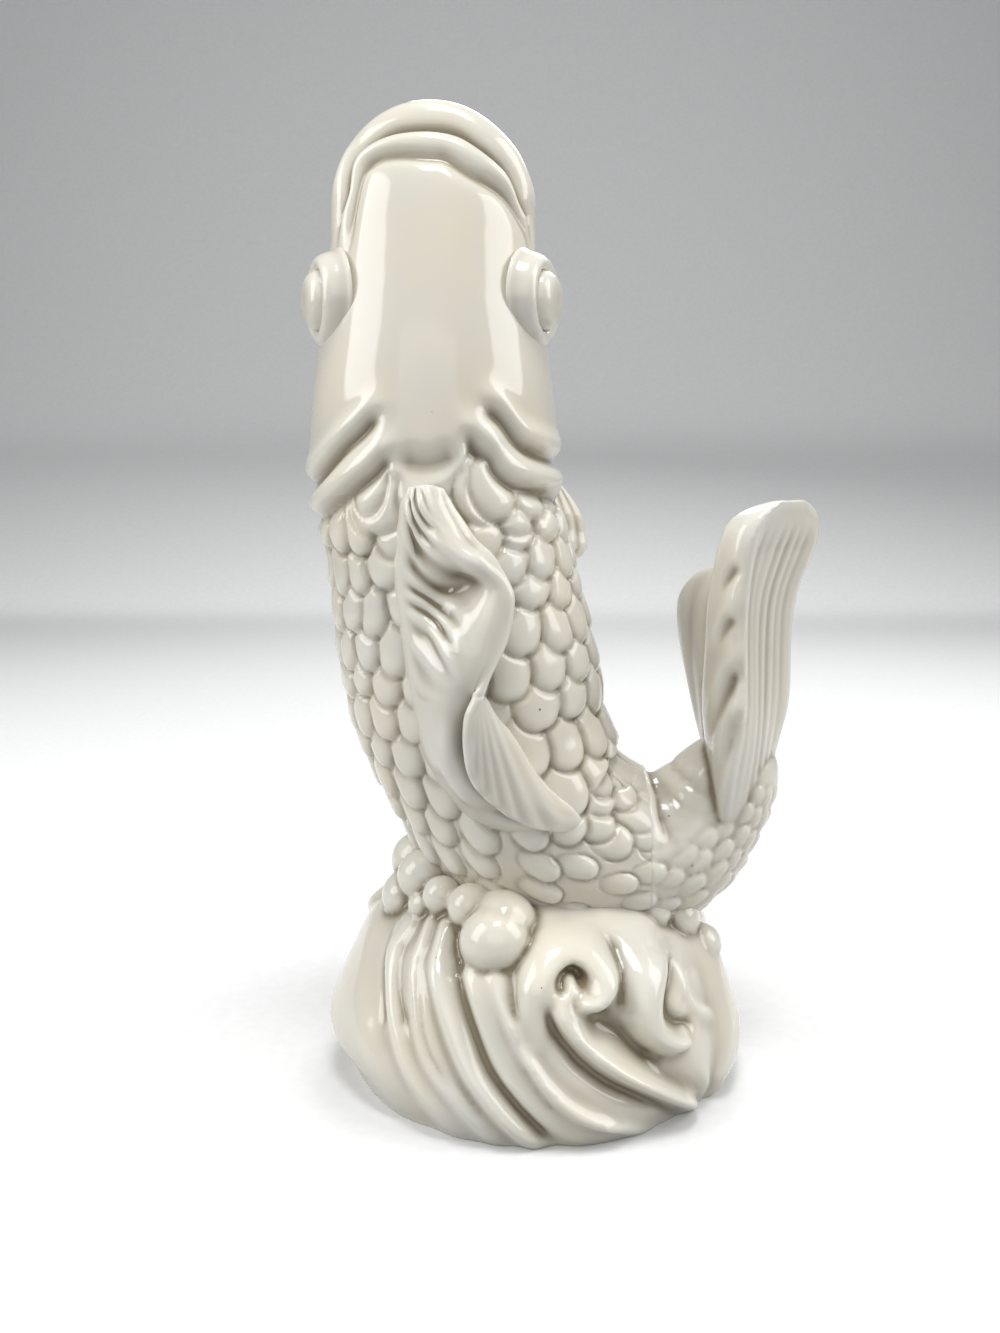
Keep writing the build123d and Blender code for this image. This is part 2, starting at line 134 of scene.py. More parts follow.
# Lines round the mouth, in millimetres: the gap between the lips, and the fold under the upper lip
MOUTH_GAP = [
    (-53.5, -8.5, 222), (-52.6, -6.5, 233.3), (-50.4, -6, 240.2), (-49, -2.8, 248.1),
    (-45.3, -2.8, 252.6), (-38.6, -4.2, 255.8), (-29.7, -5.9, 256.6), (-21.5, -5.6, 255.4),
    (-15.9, -6, 252.2), (-11, -5.7, 248.1), (-7.6, -5, 243.8), (-5.1, -4.5, 238),
    (-3, -2.2, 233.3), (-1.2, -3, 222),
]
LIP_FOLD = [
    (-50.5, -14, 219), (-48.9, -11.3, 230.1), (-46.6, -8.2, 243.1), (-43.9, -8.1, 247),
    (-39, -9.4, 248.7), (-29.4, -11.7, 248.2), (-24.6, -11.5, 247.6), (-19.5, -12, 244.5),
    (-14.1, -11.1, 241.7), (-9.2, -9, 238.7), (-5.8, -7.1, 234.1), (-2.9, -4.7, 226.9),
    (-2.2, -9, 217),
]
# A dip in the nape, as turn and height
NAPE_DIP = [(-12, 172.5), (-4, 171), (5, 171.5), (12, 174)]

# Rows of the soft rings round the upper side of the tail stem
STEM_BUMPS = (14.55, 15.2, 15.85, 16.5)

# Profile of the mound: height as a share of its height, reach as a share of its half size
MOUND_SHARES = np.array([
    (0, 0.95), (0.16, 0.985), (0.31, 0.98), (0.43, 0.95), (0.69, 0.87), (0.82, 0.8),
    (1, 0.66),
])
# The foot of the mound, from the middle of its underside out and up: reach share, height in mm
FOOT = [(0.02, 1.8), (0.3, 1.4), (0.86, 1.2), (0.885, 0.3), (0.9, 0), (0.93, 0)]
# The crown of the mound, which closes over inside the fish: reach share, height in mm
MOUND_CAP = [
    (0.74, 45), (0.685, 48), (0.63, 50.5), (0.56, 52.5), (0.48, 54), (0.3, 56), (0.05, 56.5),
]

# Points round the fish, and rings of margin past a joint with their step in rows
FISH_COLUMNS = 360
MARGIN_RINGS = 18
MARGIN_STEP = 0.03
# Lines are followed in straight pieces of this many millimetres, out to this many widths
STROKE_PIECE = 1.6
STROKE_REACH = 2.6
# Scales: rows that one can reach to, how deep in millimetres it is looked for, the height of the
# skin between them, and the mean height that is taken off, as shares of their rise
SCALE_STOPS = 1.6
SCALE_DEPTH = 9.0
BETWEEN_SCALES = 0.30
MEAN_SCALE = 0.55
# How many times as many rounds the form is smoothed for the wide hollows as for the near ones
WIDER = 9


def smooth_rows(rows, stops):
    """Natural cubic through evenly numbered rows, read at row numbers that may be fractions."""
    rows = np.asarray(rows, float)
    count = len(rows)
    inner = np.arange(1, count - 1)
    system = np.eye(count)
    system[inner, inner] = 4
    system[inner, inner - 1] = system[inner, inner + 1] = 1
    pull = np.zeros_like(rows)
    pull[1:-1] = 6 * (rows[2:] - 2 * rows[1:-1] + rows[:-2])
    bend = np.linalg.solve(system, pull)
    stops = np.asarray(stops, float)
    low = np.clip(np.floor(stops).astype(int), 0, count - 2)
    part = (stops - low)[..., None]
    rest = 1 - part
    straight = rows[low] * rest + rows[low + 1] * part
    return straight + ((rest**3 - rest) * bend[low] + (part**3 - part) * bend[low + 1]) / 6


def resampled(rows, count):
    """The cubic through rows, read at evenly spaced places from the first row to the last."""
    return smooth_rows(rows, np.linspace(0, len(rows) - 1, count))


def smooth_loop(corners, turns):
    """Closed cubic through corners along axis 0, read at turns from 0 to 1: the corners are laid
    out three times over, and only the middle round is read, so that it closes smoothly."""
    count = len(corners)
    return smooth_rows(np.concatenate([corners] * 3 + [corners[:1]]), (turns + 1) * count)


def ease(value, low, high):
    """0 below low, 1 above high, and a smooth S between them."""
    share = np.clip((value - low) / (high - low), 0, 1)
    return share * share * (3 - 2 * share)


def unit(vectors):
    """Vectors at length 1."""
    return vectors / np.maximum(np.linalg.norm(vectors, axis=-1, keepdims=True), 1e-9)


FISH_ROWS = np.stack([
    FISH_SHARES[:, 0] * FISH_HEIGHT,
    FISH_SHARES[:, 1] * BODY_DEPTH,
    FISH_SHARES[:, 2] * FISH_HEIGHT + BASE_HEIGHT,
    (FISH_SHARES[:, 3] * BODY_WIDTH) ** 2,
    (FISH_SHARES[:, 4] * BODY_DEPTH) ** 2,
], -1)


def fish_points(stops, turns):
    """Skin of the fish: at each stop along the back bone an ellipse stands square to the bone, and
    the turn goes round it from the back (0) to the right flank (a quarter turn)."""
    row = smooth_rows(FISH_ROWS, stops)
    before, after = (smooth_rows(FISH_ROWS, np.clip(stops + step, 0, LAST_ROW)) for step in (-1e-3, 1e-3))
    along = unit((after - before)[..., [0, 2]])
    side = np.sqrt(np.maximum(row[..., 3], 0)) * np.sin(turns)
    out = np.sqrt(np.maximum(row[..., 4], 0)) * np.cos(turns)
    x = row[..., 0] - along[..., 1] * side
    z = row[..., 2] + along[..., 0] * side
    return np.stack([x, row[..., 1] - out, z], -1)


def fish_frame(stops, turns):
    """Skin point, then the directions across, tailward and outward there, by small differences."""
    step = 2e-3
    stops, turns = np.broadcast_arrays(np.asarray(stops, float), np.asarray(turns, float))
    across = unit(fish_points(stops, turns + step) - fish_points(stops, turns - step))
    low = np.clip(stops - step, 0, LAST_ROW)
    high = np.clip(stops + step, 0, LAST_ROW)
    tailward = unit(fish_points(high, turns) - fish_points(low, turns))
    return fish_points(stops, turns), across, tailward, unit(np.cross(tailward, across))


def stop_at_height(turn, height):
    """Row of the head or upper trunk where the skin at a turn has a given height."""
    rows = np.linspace(0.3, 12.0, 400)
    heights = fish_points(rows, np.full_like(rows, turn))[:, 2]
    return np.interp(-height, -heights, rows)


def on_skin(line):
    """Points on the skin for a line given by turns in degrees and heights."""
    turns = np.radians([turn for turn, _ in line])
    stops = np.array([stop_at_height(turn, height) for turn, (_, height) in zip(turns, line)])
    return fish_points(stops, turns)


def stroke(points, line, width, height, sharpness=2.0, ends=(0.0, 0.0)):
    """Relief of a ridge (or, with a negative height, a groove) along a smooth line in space: the
    height falls off as exp(-(distance / width) ** sharpness) from the nearest of the line's short
    straight pieces, and it fades over a share of the line at each end."""
    line = np.asarray(line, float)
    length = np.linalg.norm(np.diff(line, axis=0), axis=-1).sum()
    pieces = int(np.clip(length / STROKE_PIECE, 8, 120))
    share = np.linspace(0, 1, pieces + 1)
    path = smooth_rows(line, share * (len(line) - 1))
    fade = np.ones(pieces + 1)
    for gone, span in ((share, ends[0]), (1 - share, ends[1])):
        if span:
            fade *= ease(gone, 0, span)
    widths = np.interp(share, np.linspace(0, 1, np.size(width)), np.atleast_1d(width))
    flat = points.reshape(-1, 3)
    reach = STROKE_REACH * widths.max()
    near = ((flat > path.min(0) - reach) & (flat < path.max(0) + reach)).all(-1)
    spots = flat[near]
    best = np.zeros(len(spots))
    for step in range(pieces):
        way = path[step + 1] - path[step]
        offset = spots - path[step]
        part = np.clip(offset @ way / (way @ way), 0, 1)
        apart = ((offset - part[:, None] * way) ** 2).sum(-1)
        wide = widths[step] + (widths[step + 1] - widths[step]) * part
        tall = fade[step] + (fade[step + 1] - fade[step]) * part
        np.maximum(best, tall * np.exp(-((apart / wide**2) ** (sharpness / 2))), out=best)
    relief = np.zeros(len(flat))
    relief[near] = height * best
    return relief.reshape(points.shape[:-1])


def scale_list(shuffle):
    """Stop, turn, half width and half length of every scale: rings that cross the body, each
    shifted by half a scale from the last, wider on the right flank than on the left."""
    rows = []
    for ring, (middle, slant) in enumerate(SCALE_RINGS):
        shrink = np.interp(ring, SHRINK_RINGS, SHRINK)
        # the first two rings are drawn up to the head on the left flank
        lift = np.interp(ring, [0, 1, 2], [0.55, 0.36, 0.0])
        for start, pace, count in SCALE_COLUMNS:
            wide = abs(math.radians(pace)) * FLANK_REACH
            for column in range((ring + 1) % 2, count, 2):
                turn = math.radians(start + pace * column)
                stop = middle + slant * math.sin(turn) + lift * min(math.sin(turn), 0.0)
                rows.append((stop, turn, wide * shrink, SCALE_HALF * shrink))
        turn = math.radians(2.0 if ring % 2 else -6.0)
        rows.append((middle, turn, BACK_SCALE[0] * shrink, BACK_SCALE[1] * shrink))
    rows = np.array(rows)
    rows[:, 0] += shuffle.normal(0, 0.03, len(rows))
    rows[:, 1] += shuffle.normal(0, 0.016, len(rows))
    rows[:, 2:] *= shuffle.normal(1, 0.04, (len(rows), 2))
    return np.concatenate([rows, NAPE_SCALES * (1, math.pi / 180, 1, 1)])


def scale_relief(points, stops):
    """Plump overlapping scales, as shares of their rise, laid from the tail to the head as on a
    fish: each is a shield with a broad round free edge towards the tail, which it rises to, and it
    hides what it lies on. A groove runs just outside its free edge."""
    shuffle = np.random.default_rng(11)
    scales = scale_list(shuffle)
    relief = np.full(points.shape[:-1], BETWEEN_SCALES)
    for stop, turn, wide, long in scales[np.argsort(-scales[:, 0], kind="stable")]:
        tall = 0.90 + 0.10 * shuffle.random()
        low, high = np.searchsorted(stops, (stop - SCALE_STOPS, stop + SCALE_STOPS))
        if low >= high:
            continue
        centre, across, tailward, outward = fish_frame(stop, turn)
        offset = points[low:high] - centre
        u = (offset @ across) / wide
        v = (offset @ tailward) / long
        # 0 at the middle of the shield and 1 on its rim: squarer at the free edge, longer behind
        ring = np.where(
            v > 0, (np.abs(u) ** 2.25 + np.abs(v) ** 2.25) ** (1 / 2.25),
            (np.abs(u) ** 2.6 + np.abs(v / 1.25) ** 2.0) ** (1 / 2.3),
        )
        facing = np.abs(offset @ outward) < SCALE_DEPTH
        tilt = 0.34 + 0.60 * np.clip((v + 1.0) / 1.9, 0, 1) ** 0.9
        body = tall * tilt * (1 - 0.22 * u * u) * np.clip(1 - ring**3.2, 0, 1) ** 0.5
        cover = ease(1.0 - ring, -0.02, 0.09) * facing
        groove = np.exp(-(((ring - 1.03) / 0.075) ** 2)) * ease(v, -0.55, 0.1) * facing
        part = relief[low:high]
        part += (body - part) * cover
        part -= 0.26 * groove * (1 - cover)
    return np.clip(relief, 0, 1.2)


def soften(field, rounds):
    """Averages a grid of rings with its four neighbours, a number of times."""
    for _ in range(rounds):
        up = np.concatenate([field[:1], field[:-1]])
        down = np.concatenate([field[1:], field[-1:]])
        field = (field * 2 + up + down + np.roll(field, 1, 1) + np.roll(field, -1, 1)) / 6
    return field


def fish_relief(points, stops, turns, sizes):
    """All the modelling on the skin of the fish, as a height in millimetres off its smooth form:
    lips and folds on the head, gill covers, and scales from the collar to the tail."""
    row = stops[:, None]
    upper = np.sin(turns)[None, :]
    degrees = np.degrees(np.arctan2(np.sin(turns), np.cos(turns)))
    collar = np.interp(degrees, COLLAR_LINE[:, 0], COLLAR_LINE[:, 1])[None, :]
    scaled = ease(collar - points[..., 2], -1.0, 3.0) * (row > 3)
    # the tail stem keeps its scales on its underside, and is nearly smooth on top
    bare = ease(row + 0.9 * upper, 14.0, 14.9) * ease(upper, -0.25, 0.35)
    scaled *= (1 - 0.85 * bare) * (1 - ease(row, 16.6, 17.4))
    rise = sizes.scale_rise / MM * (1 - 0.45 * ease(row, 13.0, 14.5))
    relief = np.zeros(points.shape[:-1])
    if stops[-1] > 6:
        relief += scaled * (scale_relief(points, stops) - MEAN_SCALE) * rise
    strokes = []
    for fold in GILL_FOLDS:
        line = on_skin(fold)
        strokes.append((line, 2.0, -sizes.fold_depth / MM, 1.8, (0.10, 0.2)))
        strokes.append((line + (0.0, 0.0, 5.0), 3.4, 1.2, 2.0, (0.12, 0.2)))
    if stops[0] < 6:
        # the gap, the roll of the upper lip behind it, the lower lip, and the fold under that
        gap, fold = np.array(MOUTH_GAP), np.array(LIP_FOLD)
        strokes += [(*lip, (0.15, 0.15)) for lip in (
            (gap, 1.6, -2.4, 1.7), (gap + (0, 6.5, 4.4), 4.6, 2.3, 2.4),
            ((gap[:-1] + fold) / 2, 2.8, 1.3, 2.2), (fold, 2.0, -1.4, 1.8),
        )]
    for stop in STEM_BUMPS:
        if stops[0] < stop < stops[-1]:
            line = fish_points(np.full(7, stop), np.radians(np.linspace(20, 150, 7)))
            strokes.append((line, 2.6, 0.9, 2.0, (0.3, 0.3)))
    strokes.append((on_skin(NAPE_DIP), 3.6, -1.8, 2.0, (0.25, 0.25)))
    for one in strokes:
        relief += stroke(points, *one)
    return relief


def rounded_stops(first, last, spacing):
    """Stops from first to last, spaced evenly by the mean distance along four lines of the skin."""
    fine = np.linspace(first, last, 1200)
    gone = np.zeros(len(fine))
    for turn in (0.0, math.pi / 2, math.pi, -math.pi / 2):
        line = fish_points(fine, np.full_like(fine, turn))
        steps = np.linalg.norm(np.diff(line, axis=0), axis=-1)
        gone[1:] += np.cumsum(steps) / 4
    count = max(int(gone[-1] / spacing), 8)
    return np.interp(np.linspace(0, gone[-1], count), gone, fine)


def quads(rows, columns, looped=False):
    """Four-cornered faces of a grid whose last column meets its first. On a looped one, such as a
    torus, the last row meets the first one too."""
    index = np.arange(rows * columns).reshape(rows, columns)
    ahead = np.roll(index, -1, 1)
    faces = np.stack([index, ahead, np.roll(ahead, -1, 0), np.roll(index, -1, 0)], -1)
    return (faces if looped else faces[:-1]).reshape(-1, 4)


def placed(name, data):
    """A new object in the scene."""
    thing = bpy.data.objects.new(name, data)
    bpy.context.scene.collection.objects.link(thing)
    return thing


def new_mesh(name, points, face_sets, flat_sets=(), normals=None):
    """A mesh object from points in millimetres and sets of faces, which are turned over where the
    volume in them, summed as fans from each face's first corner, is negative, so that they face
    outwards. Given normals shade a piece exactly as its neighbour across a joint."""
    volume = 0.0
    for faces in face_sets:
        for step in range(1, faces.shape[1] - 1):
            a, b, c = (points[faces[:, corner]] for corner in (0, step, step + 1))
            volume += (a * np.cross(b, c)).sum()
    if volume < 0:
        face_sets = [faces[:, ::-1] for faces in face_sets]
    mesh = bpy.data.meshes.new(name)
    mesh.from_pydata((points * MM).tolist(), [], [face for faces in face_sets for face in faces.tolist()])
    mesh.polygons.foreach_set("use_smooth", np.concatenate([
        np.full(len(faces), index not in flat_sets) for index, faces in enumerate(face_sets)
    ]))
    mesh.update()
    if normals is not None:
        mesh.normals_split_custom_set_from_vertices(normals.tolist())
    return placed(name, mesh)


def closed_tube(name, grid, start=None, finish=None, flat=(), normals=None):
    """A tube from rows of rings, closed at each end on a point: the given one, or the middle of
    the end ring. A flat cap (1 the first, 2 the last) doesn't shade the skin next to it."""
    rows, columns, _ = grid.shape
    start = grid[0].mean(0) if start is None else start
    finish = grid[-1].mean(0) if finish is None else finish
    points = np.concatenate([grid.reshape(-1, 3), [start], [finish]])
    ring = np.arange(columns)
    ahead = np.roll(ring, -1)
    below = (rows - 1) * columns
    tip = np.full(columns, rows * columns)
    opening = np.stack([tip, ahead, ring], -1)
    closing = np.stack([tip + 1, ring + below, ahead + below], -1)
    return new_mesh(name, points, [quads(rows, columns), opening, closing], flat, normals)


def pooled_and_shaded(near, wide):
    """How thick the glaze lies and how much shade is painted, from 0 on sharp ridges, painted palest, through
    0.5 on flats to 1 in deep grooves, painted darkest as shade: near is the bend within a millimetre or so,
    wide the depth in millimetres under the form smoothed out over its surroundings."""
    return np.clip(0.5 + np.clip(near, -0.6, 0.6) * 1.9 + np.clip(wide, -1.5, 3.0) * 0.17, 0, 1)


def spots_of(mesh):
    """The points of a mesh, in metres."""
    spots = np.zeros(len(mesh.vertices) * 3)
    mesh.vertices.foreach_get("co", spots)
    return spots.reshape(-1, 3)


def links_of(mesh):
    """Near and far end of every edge, counted once from each side, and the edges at each point."""
    ends = np.zeros(len(mesh.edges) * 2, int)
    mesh.edges.foreach_get("vertices", ends)
    one, two = ends.reshape(-1, 2).T
    here = np.concatenate([one, two])
    degree = np.maximum(np.bincount(here, minlength=len(mesh.vertices)), 1)
    return here, np.concatenate([two, one]), degree


def mean_spots(spots, here, there, degree):
    """The mean place of each point's neighbours."""
    sums = [np.bincount(here, spots[there, axis], len(spots)) for axis in range(3)]
    return np.stack(sums, -1) / degree[:, None]


def glaze_pool_and_shade(piece, rounds):
    """Stores how hollow each point's surroundings are, where glaze gathers and where shade is painted: the
    mean offset of a point's neighbours along its normal over the square of their distance, averaged round
    about, and the distance to the same mesh after it has been averaged many times."""
    mesh = piece.data
    spots = spots_of(mesh) / MM
    normals = np.zeros(spots.size)
    mesh.vertex_normals.foreach_get("vector", normals)
    normals = normals.reshape(-1, 3)
    here, there, degree = links_of(mesh)
    apart = spots[there] - spots[here]
    lean = (apart * normals[here]).sum(-1) / np.maximum((apart**2).sum(-1), 1e-6)
    hollow = np.clip(np.bincount(here, lean, len(spots)) / degree, -0.6, 0.6)
    for _ in range(rounds):
        hollow = (hollow + np.bincount(here, hollow[there], len(spots)) / degree) / 2
    smooth = spots
    for _ in range(rounds * WIDER):
        smooth = mean_spots(smooth, here, there, degree)
    layer = mesh.attributes.new("pool_and_shade", "FLOAT", "POINT")
    layer.data.foreach_set("value", pooled_and_shaded(hollow, ((smooth - spots) * normals).sum(-1)))


def hex_colour(text):
    """An sRGB hex colour as the linear values that a shader takes."""
    parts = np.array([int(text[i:i + 2], 16) for i in (1, 3, 5)]) / 255
    linear = np.where(parts <= 0.04045, parts / 12.92, ((parts + 0.055) / 1.055) ** 2.4)
    return (*linear.tolist(), 1.0)


def add_node(tree, kind, settings=None, inputs=None, stops=()):
    """Adds a shader node with its settings; an input is a value, or the output that feeds it, and
    the stops of a colour ramp are positions with their sRGB hex colours."""
    node = tree.nodes.new("ShaderNode" + kind)
    for name, value in (settings or {}).items():
        setattr(node, name, value)
    for name, value in (inputs or {}).items():
        if isinstance(value, bpy.types.NodeSocket):
            tree.links.new(value, node.inputs[name])
        else:
            node.inputs[name].default_value = value
    for index, (position, text) in enumerate(stops):
        elements = node.color_ramp.elements
        element = elements[index] if index < len(elements) else elements.new(position)
        element.position = position
        element.color = hex_colour(text)
    return node


def new_material(name):
    """The empty node tree of a new material."""
    material = bpy.data.materials.new(name)
    material.use_nodes = True
    material.node_tree.nodes.clear()
    return material.node_tree


def glazed_earthenware(name, colours):
    """Slip-cast white earthenware under a clear glossy glaze. The glaze runs thin on the crests, which are
    painted paler as painted light, and pools creamy in the hollows, which are painted much darker as painted
    shade; there is faint clouding in the clay and a few pinholes."""
    tree = new_material(name)
    place = add_node(tree, "TexCoord").outputs["Object"]
    # how hollow each point is picks the glaze colour: paler on crests as painted light, plain on flats, and
    # much darker in hollows and grooves as painted shade over a little real glaze pooling
    pool_and_shade = add_node(tree, "Attribute", {"attribute_name": "pool_and_shade"}).outputs["Fac"]
    glaze = add_node(tree, "ValToRGB", inputs={"Fac": pool_and_shade}, stops=(
        (0.24, colours.crest), (0.50, colours.body), (0.88, colours.hollow),
    )).outputs["Color"]
    # clouds in the clay body about 28 mm across
    clouds = add_node(tree, "TexNoise", inputs={
        "Vector": place, "Scale": 1 / 0.028, "Detail": 3.0, "Roughness": 0.55,
    }).outputs["Fac"]
    clay = add_node(tree, "ValToRGB", inputs={"Fac": clouds}, stops=(
        (0.30, colours.clay_cool), (0.70, colours.clay_warm),
    )).outputs["Color"]
    clouded = add_node(tree, "Mix", {"data_type": "RGBA", "blend_type": "MULTIPLY"}, {
        "Factor": 0.85, "A": glaze, "B": clay,
    }).outputs["Result"]
    # pinholes 0.5 mm across, one every 9 mm or so, and few of those dark enough to see
    pins = add_node(tree, "TexVoronoi", inputs={
        "Vector": place, "Scale": 1 / 0.009, "Randomness": 1.0,
    }).outputs
    spot = add_node(tree, "MapRange", inputs={
        "Value": pins["Distance"], "From Min": 0.022, "From Max": 0.040, "To Min": 1.0, "To Max": 0.0,
    }).outputs["Result"]
    chance = add_node(tree, "SeparateColor", inputs={"Color": pins["Color"]}).outputs["Red"]
    chosen = add_node(tree, "Math", {"operation": "GREATER_THAN"}, {0: chance, 1: 0.93}).outputs["Value"]
    pin = add_node(tree, "Math", {"operation": "MULTIPLY"}, {0: spot, 1: chosen}).outputs["Value"]
    speckled = add_node(tree, "Mix", {"data_type": "RGBA"}, {
        "Factor": pin, "A": clouded, "B": hex_colour(colours.pinhole),
    }).outputs["Result"]
    # the glaze surface: a slow ripple 9 mm long, and on it a fine orange peel of 1.2 mm
    ripple = add_node(tree, "TexNoise", inputs={"Vector": place, "Scale": 1 / 0.009, "Detail": 1.0})
    slow = add_node(tree, "Bump", inputs={
        "Height": ripple.outputs["Fac"], "Strength": 0.10, "Distance": 0.0008,
    }).outputs["Normal"]
    peel = add_node(tree, "TexNoise", inputs={"Vector": place, "Scale": 1 / 0.0012, "Detail": 1.0})
    fine = add_node(tree, "Bump", inputs={
        "Height": peel.outputs["Fac"], "Strength": 0.05, "Distance": 0.00006, "Normal": slow,
    }).outputs["Normal"]
    shader = add_node(tree, "BsdfPrincipled", inputs={
        "Base Color": speckled, "Roughness": 0.5, "Specular IOR Level": 0.25, "Coat Weight": 1.0,
        "Coat Roughness": 0.10, "Coat IOR": 1.5, "Normal": slow, "Coat Normal": fine,
        "Subsurface Weight": 0.06, "Subsurface Radius": (0.9, 0.8, 0.6), "Subsurface Scale": 0.0012,
    })
    add_node(tree, "OutputMaterial", inputs={"Surface": shader.outputs["BSDF"]})


def dry_slip(name, colours):
    """Casting slip dried inside the joints: matt, chalky and unglazed, with a sandy grain."""
    tree = new_material(name)
    place = add_node(tree, "TexCoord").outputs["Object"]
    # grains of sand 1.5 mm across, coarser than real ones so that they show
    grain = add_node(tree, "TexNoise", inputs={
        "Vector": place, "Scale": 1 / 0.0015, "Detail": 4.0,
    }).outputs["Fac"]
    bump = add_node(tree, "Bump", inputs={
        "Height": grain, "Strength": 0.4, "Distance": 0.0002,
    }).outputs["Normal"]
    tint = add_node(tree, "ValToRGB", inputs={"Fac": grain}, stops=(
        (0.35, colours.clay_bare), (0.65, colours.clay_dust),
    )).outputs["Color"]
    shader = add_node(tree, "BsdfPrincipled", inputs={"Base Color": tint, "Roughness": 0.92, "Normal": bump})
    add_node(tree, "OutputMaterial", inputs={"Surface": shader.outputs["BSDF"]})


def finish_piece(piece, part, nodes, pool_shade_rounds=10):
    """Gives a piece its glaze, with painted shade in its hollows and painted light on its crests, its place
    on the body and the CAD nodes that it stands for.
    """
    if "pool_and_shade" not in piece.data.attributes:
        glaze_pool_and_shade(piece, pool_shade_rounds)
    piece.data.materials.append(bpy.data.materials[f"{part}_glazed_earthenware"])
    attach(piece, "root")
    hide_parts(*nodes)


def grid_normals(grid):
    """Outward normals of a grid of rings, from the cross product of its two differences."""
    along = np.gradient(grid, axis=0)
    across = np.roll(grid, -1, 1) - np.roll(grid, 1, 1)
    return unit(np.cross(along, across))


def grid_pool_and_shade(grid, normals, rounds):
    """How hollow a grid of rings is at each point, for the glaze pooling and the painted shade, worked out as
    it is for a mesh.
    """
    hollow = np.zeros(grid.shape[:-1])
    for way, axis in ((1, 1), (-1, 1), (1, 0), (-1, 0)):
        apart = np.roll(grid, way, axis) - grid
        hollow += (apart * normals).sum(-1) / np.maximum((apart**2).sum(-1), 1e-2) / 4
    hollow[[0, -1]] = 0
    wide = ((soften(grid, rounds * WIDER) - grid) * normals).sum(-1)
    return pooled_and_shaded(soften(np.clip(hollow, -0.6, 0.6), rounds), wide)


def fish_piece(name, first, last, spacing, sizes):
    """One casting of the fish between two rows of the back bone. Its relief, normals and glaze pooling with
    painted shade are worked out on a grid that runs on past the joints, and that margin is then cut off, so
    that the next casting meets it without a step."""
    inner = rounded_stops(first, last, spacing)
    after = np.arange(1, MARGIN_RINGS + 1) * MARGIN_STEP + last
    if first == 0:
        before = after[:0]
        inner = inner[1:]
    else:
        before = np.arange(-MARGIN_RINGS, 0) * MARGIN_STEP + first
    stops = np.concatenate([before, inner, after])
    turns = np.linspace(0, 2 * math.pi, FISH_COLUMNS, endpoint=False)
    points, _, _, outward = fish_frame(stops[:, None], turns[None, :])
    points = points + outward * fish_relief(points, stops, turns, sizes)[..., None]
    normals = grid_normals(points)
    pool_and_shade = grid_pool_and_shade(points, normals, 10)
    kept = slice(len(before), len(before) + len(inner))
    points, normals, pool_and_shade = points[kept], normals[kept], pool_and_shade[kept]
    # a joint's cap is flat and lies inside the next casting; the snout closes straight upwards
    ends = np.array([unit(normals[0].mean(0)), unit(normals[-1].mean(0))])
    if first == 0:
        ends[0] = (0.0, 0.0, 1.0)
    piece = closed_tube(
        name, points, flat=(1, 2) if first > 0 else (2,),
        normals=np.concatenate([normals.reshape(-1, 3), ends]),
    )
    # the value that paints shade in the hollows and light on the crests of the glaze
    layer = piece.data.attributes.new("pool_and_shade", "FLOAT", "POINT")
    layer.data.foreach_set("value", np.concatenate([pool_and_shade.ravel(), pool_and_shade[0, :1], pool_and_shade[-1, :1]]))
    return piece


def length(name, description, default, low=0.0):
    """A length that the panel shows."""
    return bpy.props.FloatProperty(
        name=name, description=description, default=default, min=low, unit="LENGTH", subtype="DISTANCE")


def colour(name, description, default):
    """An sRGB hex colour that the panel shows."""
    return bpy.props.StringProperty(name=name, description=description, default=default)


class CarpSizes(bpy.types.PropertyGroup):
    """Sizes of the modelling on the figurine"""

    scale_rise: length("Scale rise", "How far a scale's free edge stands off the body", 0.0030)
    fold_depth: length("Gill fold depth", "Depth of the folds in the gill covers", 0.0022)
    fin_edge: length("Fin edge", "Thickness of the fins at their free edge", 0.0020, 0.0005)
    ray_depth: length("Fin ray depth", "Depth of the grooves between fin rays", 0.0007)
    fin_voxel: length("Tail detail", "Grid size at which the tail is melted together", 0.0006, 0.0003)
    clay_voxel: length("Wave detail", "Grid size at which the waves are melted together", 0.00072, 0.0004)
    height: length("Height", "Height of the packed figurine, for reference", CAD_HIGH.z - CAD_LOW.z)


class CarpColours(bpy.types.PropertyGroup):
    """Colours of the clay and the glaze, with painted light on the crests and painted shade in the hollows,
    as sRGB hex values
    """

    # painted light: the crests are painted paler than the even glaze, over a little thinning of the glaze
    crest: colour("Glaze on crests", "Where the glaze runs thin", "#EBE9E1")
    body: colour("Glaze", "The glaze over even surfaces", "#DCD8CE")
    # painted shade: the hollows are painted much darker, over a little real pooling of the glaze
    hollow: colour("Glaze in hollows", "Where the glaze pools", "#857B66")
    clay_cool: colour("Cool clay", "The greyer clouds in the clay", "#F1F1EF")
    clay_warm: colour("Warm clay", "The creamier clouds in the clay", "#FAF5E8")
    pinhole: colour("Pinholes", "Iron specks and pinholes", "#5A4A3A")
    clay_bare: colour("Bare clay", "Unglazed clay", "#D8D1C0")
    clay_dust: colour("Dusty clay", "Dust on the unglazed clay", "#E8E3D6")


class CARP_OT_glazes(bpy.types.Operator):
    """Mix the glazes and the slip"""

    bl_idname = "carp.glazes"
    bl_label = "Glazes"

    def execute(self, context):
        for part in ("fish", "fin", "eye", "wave"):
            glazed_earthenware(f"{part}_glazed_earthenware", context.scene.carp_colours)
        dry_slip("dry_casting_slip", context.scene.carp_colours)
        return {"FINISHED"}


